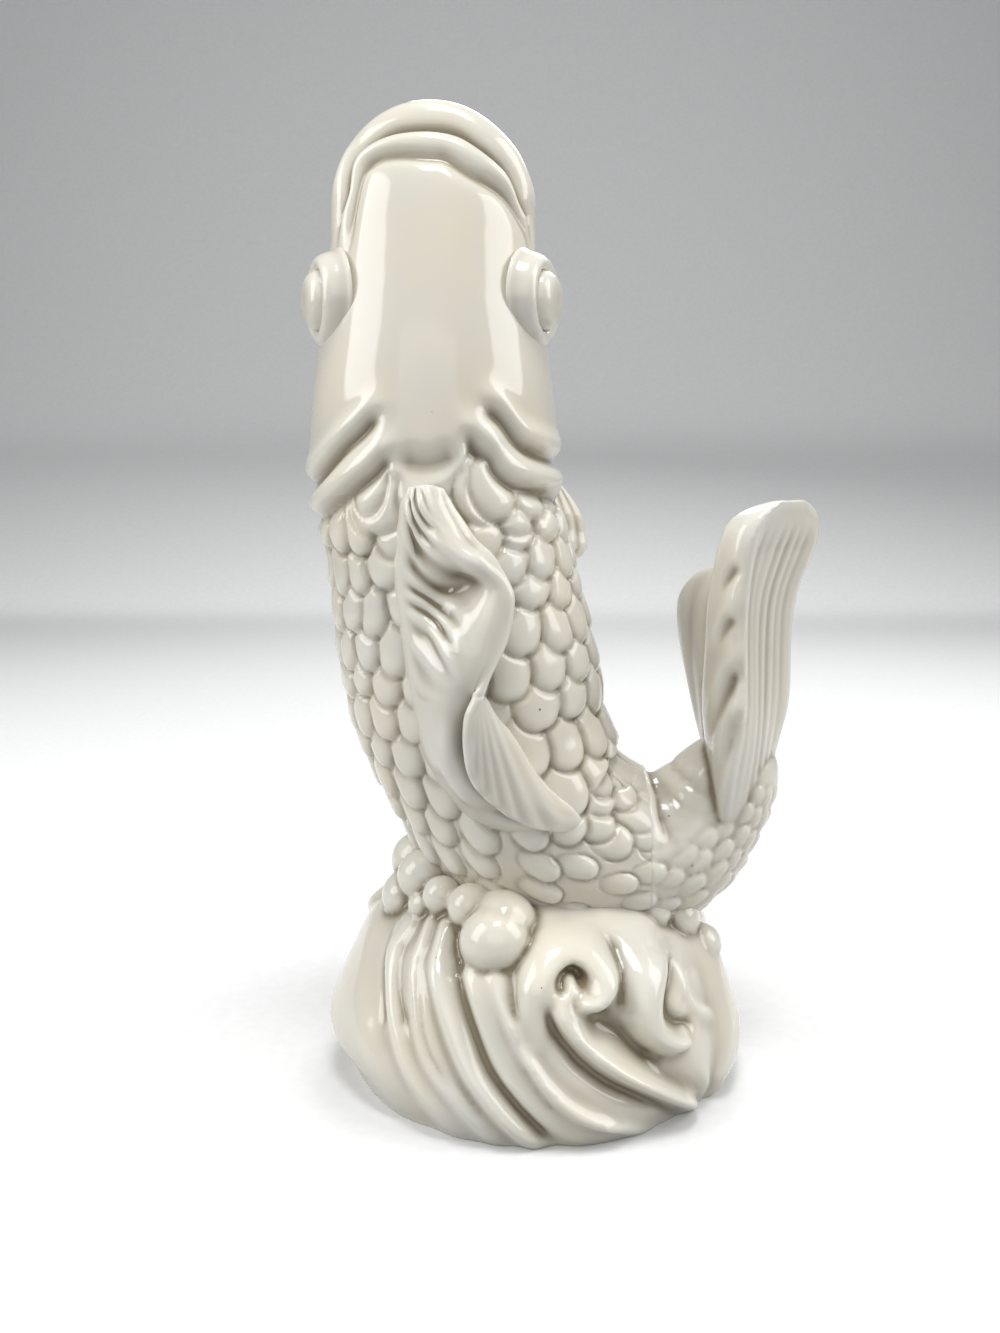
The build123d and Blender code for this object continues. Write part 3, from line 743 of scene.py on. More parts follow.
class CARP_OT_fish(bpy.types.Operator):
    """Model the head and the trunk with their folds and scales"""

    bl_idname = "carp.fish"
    bl_label = "Head and trunk"

    def execute(self, context):
        sizes = context.scene.carp_sizes
        head = fish_piece("carp_head", 0, NECK_ROW, 0.62, sizes)
        finish_piece(head, "fish", ("head_shell", "lower_lip", "upper_lip"))
        trunk = fish_piece("carp_trunk", NECK_ROW, JOINT_ROW, 0.68, sizes)
        finish_piece(trunk, "fish", ("trunk_shell",))
        return {"FINISHED"}


# Half section of an eye: distance from its axis and height off the head, in millimetres
COLLAR_PROFILE = [
    (7.4, -3), (10.2, -3.8), (13.4, -3.2), (12.9, -1.6), (12.1, 0.6), (11.1, 2.5), (9.8, 3.5),
    (8.6, 3.3), (7.7, 2.4), (7.2, 0.4),
]
EYEBALL_PROFILE = [
    (0, -2), (5.5, -1.6), (7.3, 0.6), (7.6, 2.3), (7.2, 4), (6.2, 5.3), (4.6, 6.1),
    (2.6, 6.4), (1.2, 6.4), (0, 6.4),
]
# The row whose flanks carry the eyes, and how far they are turned to the front, in degrees
EYE_ROW = 5
EYE_TURN = 20.0


def lathe(profile, centre, facing):
    """A profile carried round an axis: each point of the smooth half section makes a ring."""
    section = resampled(profile, 60)
    upright = np.array([0.0, 0.0, 1.0])
    upright = unit(upright - facing * (upright @ facing))
    angles = np.linspace(0, 2 * math.pi, 96, endpoint=False)[None, :, None]
    spoke = np.cos(angles) * upright + np.sin(angles) * np.cross(facing, upright)
    return centre + section[:, None, :1] * spoke + section[:, None, 1:] * facing


class CARP_OT_eyes(bpy.types.Operator):
    """Turn the eyeballs and their rolled collars"""

    bl_idname = "carp.eyes"
    bl_label = "Eyes"

    def execute(self, context):
        x, y, height, wide, deep = FISH_SHARES[EYE_ROW]
        wide, deep = wide * BODY_WIDTH, deep * BODY_DEPTH
        turn = math.radians(EYE_TURN)
        for side_name, side in (("left", -1), ("right", 1)):
            centre = np.array([
                x * FISH_HEIGHT + side * wide * math.cos(turn), y * BODY_DEPTH - deep * math.sin(turn),
                BASE_HEIGHT + height * FISH_HEIGHT,
            ])
            facing = unit(np.array([side * math.cos(turn) / wide, -math.sin(turn) / deep, 0.0]))
            ring = lathe(COLLAR_PROFILE, centre, facing)
            faces = quads(*ring.shape[:2], looped=True)
            collar = new_mesh(f"carp_eye_collar_{side_name}", ring.reshape(-1, 3), [faces])
            finish_piece(collar, "eye", (f"eye_collar_{side_name}",), 4)
            ball = lathe(EYEBALL_PROFILE, centre, facing)
            eyeball = closed_tube(f"carp_eyeball_{side_name}", ball[1:-1], ball[0, 0], ball[-1, 0])
            finish_piece(eyeball, "eye", (f"eyeball_{side_name}",), 4)
        return {"FINISHED"}


# Sections down the dorsal fin, in millimetres, each from its root on the back to its free edge:
# it leans over the right flank, then folds back on itself lower down
DORSAL_SECTIONS = np.array([
    [(-31.9, -34.3, 165.4), (-30.8, -35.2, 165.6), (-29.6, -35.8, 165.9), (-28.3, -36, 165.9),
     (-27.1, -35.7, 165.7), (-25.9, -35.3, 165.4), (-25, -34.6, 165.1)],
    [(-32.7, -34.4, 160.5), (-31.3, -36.1, 160.6), (-30, -37.7, 160.6), (-28.5, -38.4, 160.9),
     (-26.8, -38.4, 160.9), (-25.1, -37.5, 161.1), (-23.7, -36, 161)],
    [(-33.5, -34, 154.6), (-31.4, -35.3, 154.6), (-29.3, -37.3, 155), (-27, -39.4, 155.6),
     (-24.5, -40.2, 156.2), (-22.4, -39, 156.6), (-20.8, -36.9, 156.7)],
    [(-33.9, -33.7, 148.6), (-31.1, -34.5, 148.4), (-28, -36.9, 148.9), (-24.6, -40.8, 149.7),
     (-21.3, -42.9, 150.3), (-18.5, -41.7, 150.5), (-16.1, -38.7, 150)],
    [(-34, -33.7, 143.1), (-30.1, -35, 142.7), (-26.1, -35.6, 143), (-22, -37.6, 144),
     (-18, -42.4, 145.7), (-14.3, -43.3, 146), (-11.4, -40.8, 145)],
    [(-33.7, -33.9, 138.3), (-29.6, -35.7, 138.3), (-25.4, -36.1, 138.8), (-20.9, -37.1, 140.2),
     (-16.6, -41, 141.4), (-12.6, -43.2, 141.9), (-9, -41.3, 140.9)],
    [(-33, -34.2, 133.1), (-29.1, -37.1, 133.7), (-24.8, -38.9, 134.5), (-20.5, -40.3, 135.4),
     (-16.3, -42.7, 136.4), (-12.4, -43.5, 137), (-8.7, -41.7, 136.8)],
    [(-32.4, -34.1, 127), (-28.8, -38.5, 127.9), (-25.2, -41.8, 128.9), (-21.4, -44.2, 129.8),
     (-17.5, -45.4, 130.4), (-13.9, -44.9, 130.4), (-10.2, -42.3, 129.7)],
    [(-31.7, -34.3, 120.3), (-28.6, -38.9, 121.4), (-25.4, -42.8, 122.6), (-22.1, -45.5, 123.6),
     (-18.7, -46.9, 124.3), (-15.5, -46.7, 124.3), (-12.7, -44.4, 123.9)],
    [(-30.8, -34, 113.6), (-28, -39, 114.8), (-25, -43, 116.1), (-21.8, -45.4, 117.2),
     (-19.2, -46.2, 118), (-17, -46.6, 118.4), (-15.3, -46.4, 118)],
    [(-30, -34, 109.9), (-27.6, -39, 111.1), (-24.4, -43, 112.4), (-20.8, -44.2, 113.2),
     (-17, -43, 113.8), (-15, -44.8, 114.4), (-16.3, -47.2, 114.4)],
    [(-29.3, -33.9, 106), (-27.2, -38.9, 107.2), (-23.9, -42.6, 108.4), (-20, -41.6, 109.2),
     (-14.8, -40.4, 110.2), (-13.4, -44.4, 110.9), (-18, -47.2, 110.3)],
    [(-27.9, -33.6, 98.9), (-26, -38.8, 100), (-23.2, -41.8, 100.8), (-17.8, -38, 102.2),
     (-9.4, -37.8, 103.8), (-10.9, -43.9, 104), (-18.3, -46.1, 102.2)],
    [(-25.1, -33.2, 92.4), (-23.6, -38.2, 93.2), (-20.6, -40.6, 93.8), (-13.4, -36.2, 95.8),
     (-4.3, -35.8, 95.4), (-7.2, -41.8, 95), (-16.4, -44.3, 93.6)],
    [(-20.8, -32.8, 86.1), (-19.3, -37.4, 87.2), (-16.2, -39.2, 87.8), (-8, -34.6, 89.6),
     (0.9, -33.6, 88.6), (-2.1, -39.2, 87.8), (-11.2, -42, 87)],
    [(-15.4, -32.8, 81.3), (-13.8, -35.4, 82.9), (-9.1, -34, 83.6), (0.5, -32.3, 84.7),
     (6.2, -31.7, 83.4), (2.4, -36.4, 82.7), (-5.1, -39.4, 82)],
    [(-7.1, -32.6, 78.3), (-5.5, -34.2, 79.3), (-1.6, -32.7, 79.7), (4.5, -30.9, 80.7),
     (9.3, -29.5, 79.8), (7, -32.7, 79.1), (1.9, -35.4, 78.6)],
    [(1.1, -31.2, 75.9), (2.4, -31.5, 76.3), (4.5, -30.7, 76.9), (7.7, -29.2, 77.5),
     (10.7, -28.4, 77.2), (9.5, -29.9, 76.9), (7.6, -31.2, 76.5)],
])
FAN_APEX = np.array([-15.8, -47, 117.2])
# Hollows and swellings of the sheet: middle and size in millimetres, and height
DORSAL_DENTS = [
    ((-19.2, -38, 142.4), (5.4, 14, 4), -3),
    ((-15.5, -42, 147.5), (5, 14, 3.2), 1.3),
    ((-26, -38, 133), (4.6, 14, 7), -1.4),
    ((-13, -43, 132), (3.4, 14, 7), 0.8),
]


def fin_sheet(name, middle, thickness, relief):
    """A fin from the grid of its middle surface (rows along the body, columns from root to free
    edge): both faces stand off it by half the thickness along its normal, a half round joins them
    at the free edge, and the root is closed inside the body."""
    out = np.gradient(middle, axis=1)
    normal = unit(np.cross(np.gradient(middle, axis=0), out))
    top = middle + normal * (thickness / 2 + relief)[..., None]
    under = middle - normal * (thickness / 2 - relief * 0.6)[..., None]
    angles = np.linspace(0, math.pi, 9)[1:-1, None]
    bend = np.cos(angles) * normal[:, None, -1] + np.sin(angles) * unit(out[:, -1])[:, None]
    rim = ((top[:, -1] + under[:, -1]) / 2)[:, None] + (thickness[:, -1] / 2)[:, None, None] * bend
    return closed_tube(name, np.concatenate([top, rim, under[:, ::-1]], 1))


class CARP_OT_dorsal_fin(bpy.types.Operator):
    """Model the waved dorsal fin"""

    bl_idname = "carp.dorsal_fin"
    bl_label = "Dorsal fin"

    def execute(self, context):
        sizes = context.scene.carp_sizes
        rows, columns = 400, 110
        last = len(DORSAL_SECTIONS) - 1
        stations = np.linspace(0, last, rows)
        v = np.linspace(0, 7, columns)
        # one more column of points carries the root into the body
        sections = np.concatenate([DORSAL_SECTIONS[:, :1] + (-0.6, 4.0, 0.0), DORSAL_SECTIONS], 1)
        down = smooth_rows(sections.reshape(last + 1, -1), stations).reshape(rows, 8, 3)
        middle = smooth_rows(down.transpose(1, 0, 2).reshape(8, -1), v).reshape(columns, rows, 3)
        middle = middle.transpose(1, 0, 2)
        share = np.clip((v - 1) / 6, 0, 1)[None, :]
        ends = (ease(stations, -0.3, 1.0) * ease(last - stations, -0.3, 1.4))[:, None]
        thickness = sizes.fin_edge / MM + 1.0 * (1 - share) ** 2 + 4.0 * np.clip(1 - v / 2.0, 0, 1) ** 2
        thickness = thickness * (0.45 + 0.55 * ends)
        # soft folds run steeply down and out from the root on the upper sheet, and die away
        phase = stations[:, None] - share * 4.6
        folds = np.cos(phase * 2 * math.pi / 1.15 + 1.1 * np.sin(phase * 1.3)) * (1 - ease(share, 0.22, 0.72))
        upper = (1 - ease(stations, 7.6, 9.6))[:, None] * ease(share, 0.0, 0.12)
        # pleats spread from one point at the top of the folded fan down to its free edge
        offset = middle - FAN_APEX
        spread = np.arctan2(offset[..., 0] + 1.0, 3.0 - offset[..., 2])
        pleats = np.cos(spread * 2 * math.pi / 0.105 + 1.5 * np.sin(spread * 7.0))
        fan = ease(stations, 10.5, 12.5)[:, None] * ease(share, 0.42, 0.6)
        relief = (folds * upper * 0.62 + pleats * fan * 0.42) * (sizes.ray_depth / MM) * ends
        # the hollow under the upper curl, and the rolled edge that runs round it
        normal = unit(np.cross(np.gradient(middle, axis=0), np.gradient(middle, axis=1)))
        facing = np.sign((normal * (0.0, -1.0, 0.0)).sum(-1).mean())
        for centre, size, height in DORSAL_DENTS:
            near = (((middle - centre) / size) ** 2).sum(-1)
            middle = middle + normal * (facing * height * np.exp(-near) * ease(share, 0.0, 0.2))[..., None]
        thickness = thickness + 1.1 * ease(share, 0.86, 1.0) * ends
        finish_piece(fin_sheet("carp_dorsal_fin", middle, thickness, relief), "fin", ("dorsal_fin",), 6)
        return {"FINISHED"}


# Side fins: row of the back bone, turn off the back in degrees, slant to the tail, length, chord
SIDE_FINS = {
    "pectoral_fin_right": (1, 122, 0.35, 14, 28),
    "pectoral_fin_left": (1.9, -128, 0.5, 14, 28),
    "pelvic_fin_right": (3.4, 152, 0.5, 11, 18),
    "pelvic_fin_left": (3.4, -152, 0.5, 11, 18),
}


class CARP_OT_side_fins(bpy.types.Operator):
    """Model the pectoral and pelvic fins"""

    bl_idname = "carp.side_fins"
    bl_label = "Side fins"

    def execute(self, context):
        sizes = context.scene.carp_sizes
        u = np.linspace(-1, 1, 140)[:, None, None]
        v = np.linspace(-0.3, 1, 70)[None, :, None]
        along = u[..., 0]
        share = np.clip(v[..., 0], 0, 1)
        taper = 1 - 0.55 * np.abs(along) ** 4
        thickness = (sizes.fin_edge / MM * 1.15 + 2.6 * (1 - share) ** 1.5) * taper
        folds = np.cos(share * 3.2 * 2 * math.pi) * 0.35 + 0.25 * np.cos(along * 9.0 + share * 2)
        relief = folds * sizes.ray_depth / MM * ease(share, 0.05, 0.3) * taper
        for name, (row, degrees, slant, reach, chord) in SIDE_FINS.items():
            turn = math.radians(degrees)
            root, across, tailward, _ = fish_frame(NECK_ROW + row, turn)
            out = unit(np.array([math.sin(turn), -math.cos(turn), 0.0]))
            # the free edge is a half oval, a little fuller towards the tail
            oval = reach * np.clip(1 - np.abs(u) ** 2.6, 0, 1) ** 0.55 * (1 + 0.06 * u)
            middle = root + tailward * (u * chord / 2 * (0.86 + 0.1 * v) + slant * oval * np.clip(v, 0, 1))
            middle = middle + out * v * np.where(v < 0, reach, oval)
            middle = middle + across * math.copysign(1.0, degrees) * 2.2 * (1 - np.cos(v * 1.7))
            finish_piece(fin_sheet(f"carp_{name}", middle, thickness, relief), "fin", (name,), 6)
        return {"FINISHED"}


# Outlines of the near tail lobe, in millimetres: height, then eight corners as x and y. The first
# four run from the front ridge across the rayed panel to the outer edge, the others back along
# the hollow side to the inner edge and the pleated face beside the ridge
NEAR_LOBE = [
    (66, (51, -13), (56, -11), (60.5, -3), (60.5, 3), (56, 3), (51, 1), (48, -4), (49, -9)),
    (79, (50.5, -19.5), (58, -14), (65.2, -3), (64.6, 4), (58, 4), (50, 0), (47.4, -6), (48, -14)),
    (92, (51.2, -21.5), (60, -15.5), (67.4, -3.4), (67.2, 2),
     (59, -2), (49.5, -1), (46.8, -7), (47.2, -14.5)),
    (105, (53, -22), (61.5, -14.5), (70, -2.8), (69.8, 1.5),
     (60, -5.6), (49, -5), (45, -9), (46.5, -16)),
    (120, (53, -22), (61.5, -13.5), (70, -2.8), (69.6, 1.2),
     (60, -7.3), (49.5, -7.5), (44.9, -11), (46.5, -17)),
    (133, (52.8, -22.5), (61.5, -13.5), (70.6, -2.8), (70.4, 1),
     (61, -8), (50, -9.5), (45, -12.5), (46.5, -18)),
    (142, (53.2, -23), (63, -13.5), (73, -2.8), (72.8, 1),
     (63, -8), (51.5, -11), (45.8, -14), (47.4, -19)),
    (150, (54.2, -23), (65.2, -13.5), (75.8, -3), (75.6, 1),
     (66, -7.5), (54, -12), (47.1, -15), (48.6, -20)),
    (156, (56.2, -22.2), (65.8, -13.8), (75.8, -4), (75.2, -0.2),
     (67, -8), (56, -12.5), (49.6, -15), (51, -19.6)),
    (159.6, (59.4, -20.2), (66.4, -14.2), (73.8, -6), (73, -3.2),
     (67.2, -8.8), (59, -12.8), (54.6, -15), (55.8, -18.2)),
    (161.6, (63, -17.8), (67, -14.6), (70.4, -10.4), (69.6, -8.8),
     (67, -11), (63.6, -13.4), (61.4, -15.2), (61.6, -16.8)),
]
# Sections of the far tail lobe, in millimetres: height, middle x and y, half chord, half
# thickness, and its turn in degrees
FAR_LOBE = np.array([
    (79.8, 57.5, 2, 10.2, 8, 95),
    (94.4, 54, 8.8, 12.2, 5.6, 105),
    (103, 52.3, 12, 13.2, 4.5, 109),
    (111.9, 51, 14.3, 14, 3.9, 113),
    (120, 50.4, 16, 14.3, 3.4, 117),
    (128, 50, 17.2, 14.2, 2.9, 118),
    (133.5, 50.8, 17.8, 12.8, 2.6, 119),
    (138.2, 52.8, 18.2, 9.6, 2.2, 119),
    (141.2, 55.4, 18.5, 5.6, 1.5, 119),
])
# Pockets between the pleats of the near lobe's inner face: depth, width, line in millimetres
TAIL_POCKETS = [
    (1.5, 1.8, [(51, -21.8, 144.5), (48.8, -20.4, 141), (47.4, -18.6, 136)]),
    (1.5, 1.9, [(50.2, -21.2, 131), (48.2, -19.6, 127), (47, -17.6, 121)]),
    (1.9, 2.4, [(52, -21.6, 116.5), (50, -20.8, 112.5), (48.2, -18.4, 105), (47.2, -14, 96)]),
    (2, 2.3, [(52.8, -21, 104), (51.4, -21, 98), (50, -19, 90), (49.2, -17, 81)]),
]
# The pleats that stand between them: height, width, line in millimetres
TAIL_PLEATS = [
    (0.8, 2.6, [(52, -22.8, 139), (49.8, -21.2, 134), (47.2, -18.4, 127), (46, -16, 119)]),
    (1, 3, [(52.4, -22.8, 125), (50.2, -21.4, 120), (47.6, -18.4, 112), (46.4, -15, 102)]),
    (1.1, 2.8, [(53, -22, 110), (51, -21.2, 105), (48.6, -18.8, 97), (47.8, -15, 87)]),
]
# Distance between the soft grooves, as a share of the way round the lobe
RAY_PITCH = 0.0335


class CARP_OT_tail(bpy.types.Operator):
    """Model the tail stem and the two lobes, melted together"""

    bl_idname = "carp.tail"
    bl_label = "Tail"

    def execute(self, context):
        sizes = context.scene.carp_sizes
        depth = sizes.ray_depth / MM
        stops = np.concatenate([
            [JOINT_ROW - 0.12, JOINT_ROW - 0.06], rounded_stops(JOINT_ROW, LAST_ROW, 0.5),
        ])
        angles = np.linspace(0, 2 * math.pi, 300, endpoint=False)
        stem, _, _, outward = fish_frame(stops[:, None], angles[None, :])
        stem = stem + outward * fish_relief(stem, stops, angles, sizes)[..., None]
        # the end of the stem draws in, so that it is lost inside the lobes
        bone = stem.mean(1, keepdims=True)
        drawn_in = 0.45 * ease(stops, 16.6, LAST_ROW) ** 2 + 0.08 * (stops < JOINT_ROW)
        stem = bone + (stem - bone) * (1 - drawn_in)[:, None, None]
        parts = [closed_tube("carp_tail", stem)]

        rows, columns = 240, 320
        turns = np.linspace(0, 1, columns, endpoint=False)
        table = np.array([[(height, height), *corners] for height, *corners in NEAR_LOBE], float)
        lobe = resampled(table.reshape(len(table), -1), rows).reshape(rows, 9, 2)
        height = lobe[:, 0, :1]
        ring = smooth_loop(lobe[:, 1:].transpose(1, 0, 2).reshape(8, -1), turns)
        ring = ring.reshape(columns, rows, 2).transpose(1, 0, 2)
        grid = np.concatenate([ring, height[:, None] + np.zeros((rows, columns, 1))], -1)
        out = grid_normals(grid)
        out *= np.sign(((grid - grid.mean(1, keepdims=True)) * out).sum(-1).mean())
        # the panel is dished below its rim, and soft grooves wander down it to the stem
        panel = ease(turns, 0.008, 0.06) * (1 - ease(turns, 0.205, 0.262))
        below = 1 - ease(height, 148.0, 157.5)
        wander = 0.7 * np.sin(height / 11.0 + turns * 31) + 0.5 * np.sin(height / 27.0 + turns * 13)
        rays = np.cos((turns - 0.03) * 2 * math.pi / RAY_PITCH + wander)
        deep = 0.36 * depth * (0.75 + 0.45 * np.sin(turns * 47 + 1.2))
        fade = ease(height, 68, 92) * below
        relief = -1.3 * panel * ease(height, 70, 112) * below + panel * (rays - 1) * deep * fade
        # a rolled rim round the panel, from the ridge over the top
        rim = np.exp(-((turns / 0.022) ** 2)) + np.exp(-(((turns - 1) / 0.022) ** 2))
        relief = relief + 0.6 * rim * ease(height, 84, 110)
        for sunk, width, line in TAIL_POCKETS:
            relief += stroke(grid, line, (width, width * 0.7), -sunk, 2.2, (0.1, 0.8))
        for proud, width, line in TAIL_PLEATS:
            relief += stroke(grid, line, width, proud, 2.0, (0.25, 0.3))
        parts.append(closed_tube("near_lobe", grid + out * relief[..., None]))

        height, x, y, chord, thick, turn = resampled(FAR_LOBE, rows).T[..., None]
        angle = turns[None, :] * 2 * math.pi
        turn = np.radians(turn)
        long = np.cos(angle) * chord
        folds = np.cos(long / 4.4 * math.pi) * 0.45 * depth * ease(height, 86, 100)
        wide = np.sin(angle) * thick + np.sin(angle) * folds
        parts.append(closed_tube("far_lobe", np.stack([
            x + np.cos(turn) * long - np.sin(turn) * wide,
            y + np.sin(turn) * long + np.cos(turn) * wide, height + np.zeros_like(long),
        ], -1)))
        tail = melted(parts, sizes.fin_voxel, 5)
        finish_piece(tail, "fin", ("tail_stem_shell", "tail_lobe_near", "tail_lobe_far"), 8)
        return {"FINISHED"}


def on_mound(degrees, height, lift=0.0):
    """Point on the mound at a bearing and a height, lifted off it by a distance."""
    share = np.asarray(height, float) / MOUND_HEIGHT
    reach = np.interp(share, MOUND_SHARES[:, 0], MOUND_SHARES[:, 1])
    angle = np.radians(degrees)
    x = (reach * BASE_WIDTH / 2 + lift) * np.cos(angle)
    y = (reach * BASE_DEPTH / 2 + lift) * np.sin(angle)
    return np.stack([x, y, np.asarray(height, float) + 0 * x], -1)


# The folds of the waves. Each line has a height off the mound at its foot and at its top, then
# its bearing in degrees at each of these levels; between one line and the next the surface eases
WAVE_LEVELS = np.array([0, 7, 14, 21, 28, 35, 42, 50])
WAVE_LINES = [
    (2.4, 1.6, (-33, -32, -26, -21, -17.3, -14.7, -12.5, -10)),
    (-0.6, -1.6, (-34.5, -35.5, -34, -33, -32, -30, -28, -26)),
    (0.6, 0.2, (-36, -38.5, -42.5, -44.7, -46, -47, -48, -49)),
    (-0.8, -1.2, (-38, -42.5, -52, -63, -70, -73, -75, -76)),
    (2.6, 1.2, (-41, -50.5, -61.5, -71.5, -79, -83, -86, -88)),
    (-1.6, -0.6, (-47, -58, -69.5, -79.5, -86.3, -90, -93.5, -96)),
    (-1, -0.6, (-54, -66, -78.5, -86.4, -92, -96.5, -100.5, -103)),
    (1.1, 0.2, (-62, -74.5, -84.7, -91.2, -96.2, -101, -105, -108)),
    (-0.1, -0.4, (-66, -78.5, -88.2, -94.6, -99.6, -104.3, -108.3, -111.5)),
    (0.1, -0.5, (-78, -86, -94.5, -100, -104.5, -109, -113, -117)),
    (-1.9, -1.6, (-86, -92, -98.5, -104.5, -109.5, -114.3, -120, -126)),
    (1.7, 1.5, (-92, -98, -104.5, -110.5, -115.5, -121, -126.5, -132)),
    (-0.5, -0.7, (-97, -102.5, -109, -115, -120, -125, -130.5, -136.5)),
    (1.1, 1.3, (-102, -107, -114, -120.5, -125.5, -129.5, -134.5, -140)),
    (0.2, -0.8, (-107, -112, -119, -126, -130, -134, -139, -145)),
    (0.9, 1.4, (-113, -117.5, -124.5, -131, -136, -140, -146, -152)),
    (-0.6, -0.9, (-121, -125, -131, -137, -143.5, -150, -158, -165)),
    (0.9, 0.4, (-134, -138, -144, -150, -158, -166, -174, -181)),
    (1.8, 1.6, (-160, -165, -171, -178, -184.5, -192, -198, -204)),
    (-0.6, -0.6, (-189, -194.3, -201, -207.5, -213.5, -221, -229, -237)),
]
# The same fold repeats round the back: its bearings, its turns, and how deep the dips between are
BACK_FOLD = np.array([-86, -91.3, -98, -104.5, -110.5, -118, -126, -134])
for _turn, _proud in (
    (-118, 2.1), (-129, -0.8), (-140, 2.1), (-151.5, -0.8), (-163, 2.0), (-185, -0.9), (-207, 2.1),
    (-218, -0.8), (-229, 2.0), (-239, -0.9),
):
    WAVE_LINES.append((_proud, _proud * 0.8, tuple(BACK_FOLD + _turn)))
# Single ridges and grooves on top of those: height, widths along it, line as bearing and height
WAVE_STROKES = [
    (-2.4, (1.5, 2.3, 1.4),
     [(-91, 38.5), (-89, 33.5), (-86, 29), (-80, 22.4), (-72, 16.3), (-62, 10.7), (-46, 1)]),
    (1.5, (1.6, 2.4, 1.7), [(-86.5, 37), (-84, 32), (-77.5, 26), (-68, 19.2), (-55, 10.2), (-40, 1)]),
    (1.5, (1, 1.3, 1.5), [(-103, 38), (-97, 29), (-91, 20), (-86, 14), (-78, 8), (-66, 3.5)]),
    (-2, (2, 1.6, 1.4),
     [(-126, 47), (-122.5, 44), (-116, 37), (-108, 25), (-103, 18), (-96, 10.7), (-91, 5.6), (-86, 0)]),
    (-1.4, (1.4, 1.1), [(-137, 46), (-131, 38), (-126.5, 30), (-121, 22), (-113, 14)]),
    (-1.4, (1.6, 1.2), [(-146, 46), (-140, 38), (-135, 31), (-130, 25)]),
    (-1, (1.4, 1.1), [(-157, 45), (-149, 37), (-143, 30), (-138, 23)]),
    (-1.9, (1.7, 1.9), [(-126, 50), (-121.5, 45), (-118, 41)]),
    (-1.6, (3.4, 2.4), [(-98.5, 44), (-98, 39), (-97.5, 33)]),
    (-2.6, (2.6, 2), [(-38, 43), (-44.5, 38.5), (-50, 33.7), (-50.5, 29.1), (-47, 26), (-42, 25.4)]),
    (1.1, (2, 2), [(-40, 44), (-41.5, 37), (-41, 31), (-36.5, 26.2), (-30, 22.8)]),
    (-2.6, (4.6, 4.2, 2.4), [(-77, 31.5), (-70, 29.5), (-65, 26), (-57, 19.5)]),
    (-2.2, (1.8, 1.6), [(-62, 49), (-64, 44), (-65, 38), (-65, 32)]),
]
# A wave that rises, rolls over and curls in on itself, laid round the middle of its own hollow:
# bearing off the hollow's, height off it, half width of the roll
ROLL = np.array([
    (-13.5, -12, 3.4), (-12.6, -5, 4), (-11, 1.6, 4.8), (-7.5, 6, 5.6), (-1, 8, 5.8),
    (5.6, 6.6, 5.2), (9.4, 2.6, 4.4), (8.6, -1.8, 3.4), (4.8, -4.2, 2.5), (0.6, -4.2, 1.8),
])
HOLLOW = np.array([(-4.4, -2.6, 1.4), (-4, 0.8, 1.9), (-0.8, 2.4, 2.1), (2.4, 1, 1.9), (1.4, -0.8, 1.2)])
ROLL_PLACES = ((-80, 40.8), (63, 40.8), (153, 40.8))
# The wave that falls and flicks up at its tip: bearing, height, half width
DRIP = np.array([
    (-49, 54, 6), (-50, 49, 6.6), (-53, 43.5, 6.2), (-57, 38, 5.3), (-59, 32.5, 4.6),
    (-58, 27.6, 4), (-54, 24.2, 3.2), (-49.5, 23.2, 2.2), (-46, 24, 1.3),
])
# Foam balls: bearing in degrees, height, how far their middles stand off the mound, radius
FOAM_BALLS = [
    (-108.5, 47.2, -5, 9.8), (-107.8, 50.4, -6.4, 9.3),
    (-124, 54, -5.5, 6.4), (-141, 55, -4.5, 5.4), (-152, 50.5, -3.6, 5),
    (-161, 57, -4.5, 7.4), (176, 57, -4.5, 8.4), (-172, 49, -3, 7.6), (173, 66, -8, 6.4),
    (-18, 45, -3, 6.6), (-14, 37, -2, 5.8), (-5, 47, -3.5, 6.2), (-30, 49, -3.5, 4.6),
    (74, 49.5, -3, 8.6), (96, 52, -3.5, 7.6), (86, 43.5, -1, 7.4), (60, 49, -3, 6),
]
# How far the rolls stand off the folds, and how deep the hollow inside each is, in millimetres
ROLL_HEIGHT = 4.4
HOLLOW_DEPTH = 3.8


def wave_relief(bearings, heights):
    """Height of the folds at each bearing (columns, in degrees) and height (rows): between two
    neighbouring lines the surface eases from the one's height to the other's, like an S."""
    lines = np.array([line for _, _, line in WAVE_LINES], float)
    foot, top = np.array([line[:2] for line in WAVE_LINES]).T
    relief = np.zeros((len(heights), len(bearings)))
    for row, height in enumerate(heights):
        level = np.interp(height, WAVE_LEVELS, np.arange(len(WAVE_LEVELS)))
        places = -smooth_rows(lines.T, level)
        places = np.concatenate([places - 360, places, places + 360])
        proud = np.tile(foot + (top - foot) * np.clip(height / WAVE_LEVELS[-1], 0, 1), 3)
        where = np.interp(-bearings, places, np.arange(len(places)))
        low = np.clip(where.astype(int), 0, len(places) - 2)
        part = where - low
        relief[row] = proud[low] + (proud[low + 1] - proud[low]) * part * part * (3 - 2 * part)
    return relief


def ball_grid(centre, radius):
    """A ball as rings from pole to pole."""
    tilt = np.linspace(0, math.pi, 25)[1:-1, None]
    turn = np.linspace(0, 2 * math.pi, 48, endpoint=False)[None, :]
    around = np.stack([np.sin(tilt) * np.cos(turn), np.sin(tilt) * np.sin(turn), np.cos(tilt) + 0 * turn], -1)
    return centre + radius * around


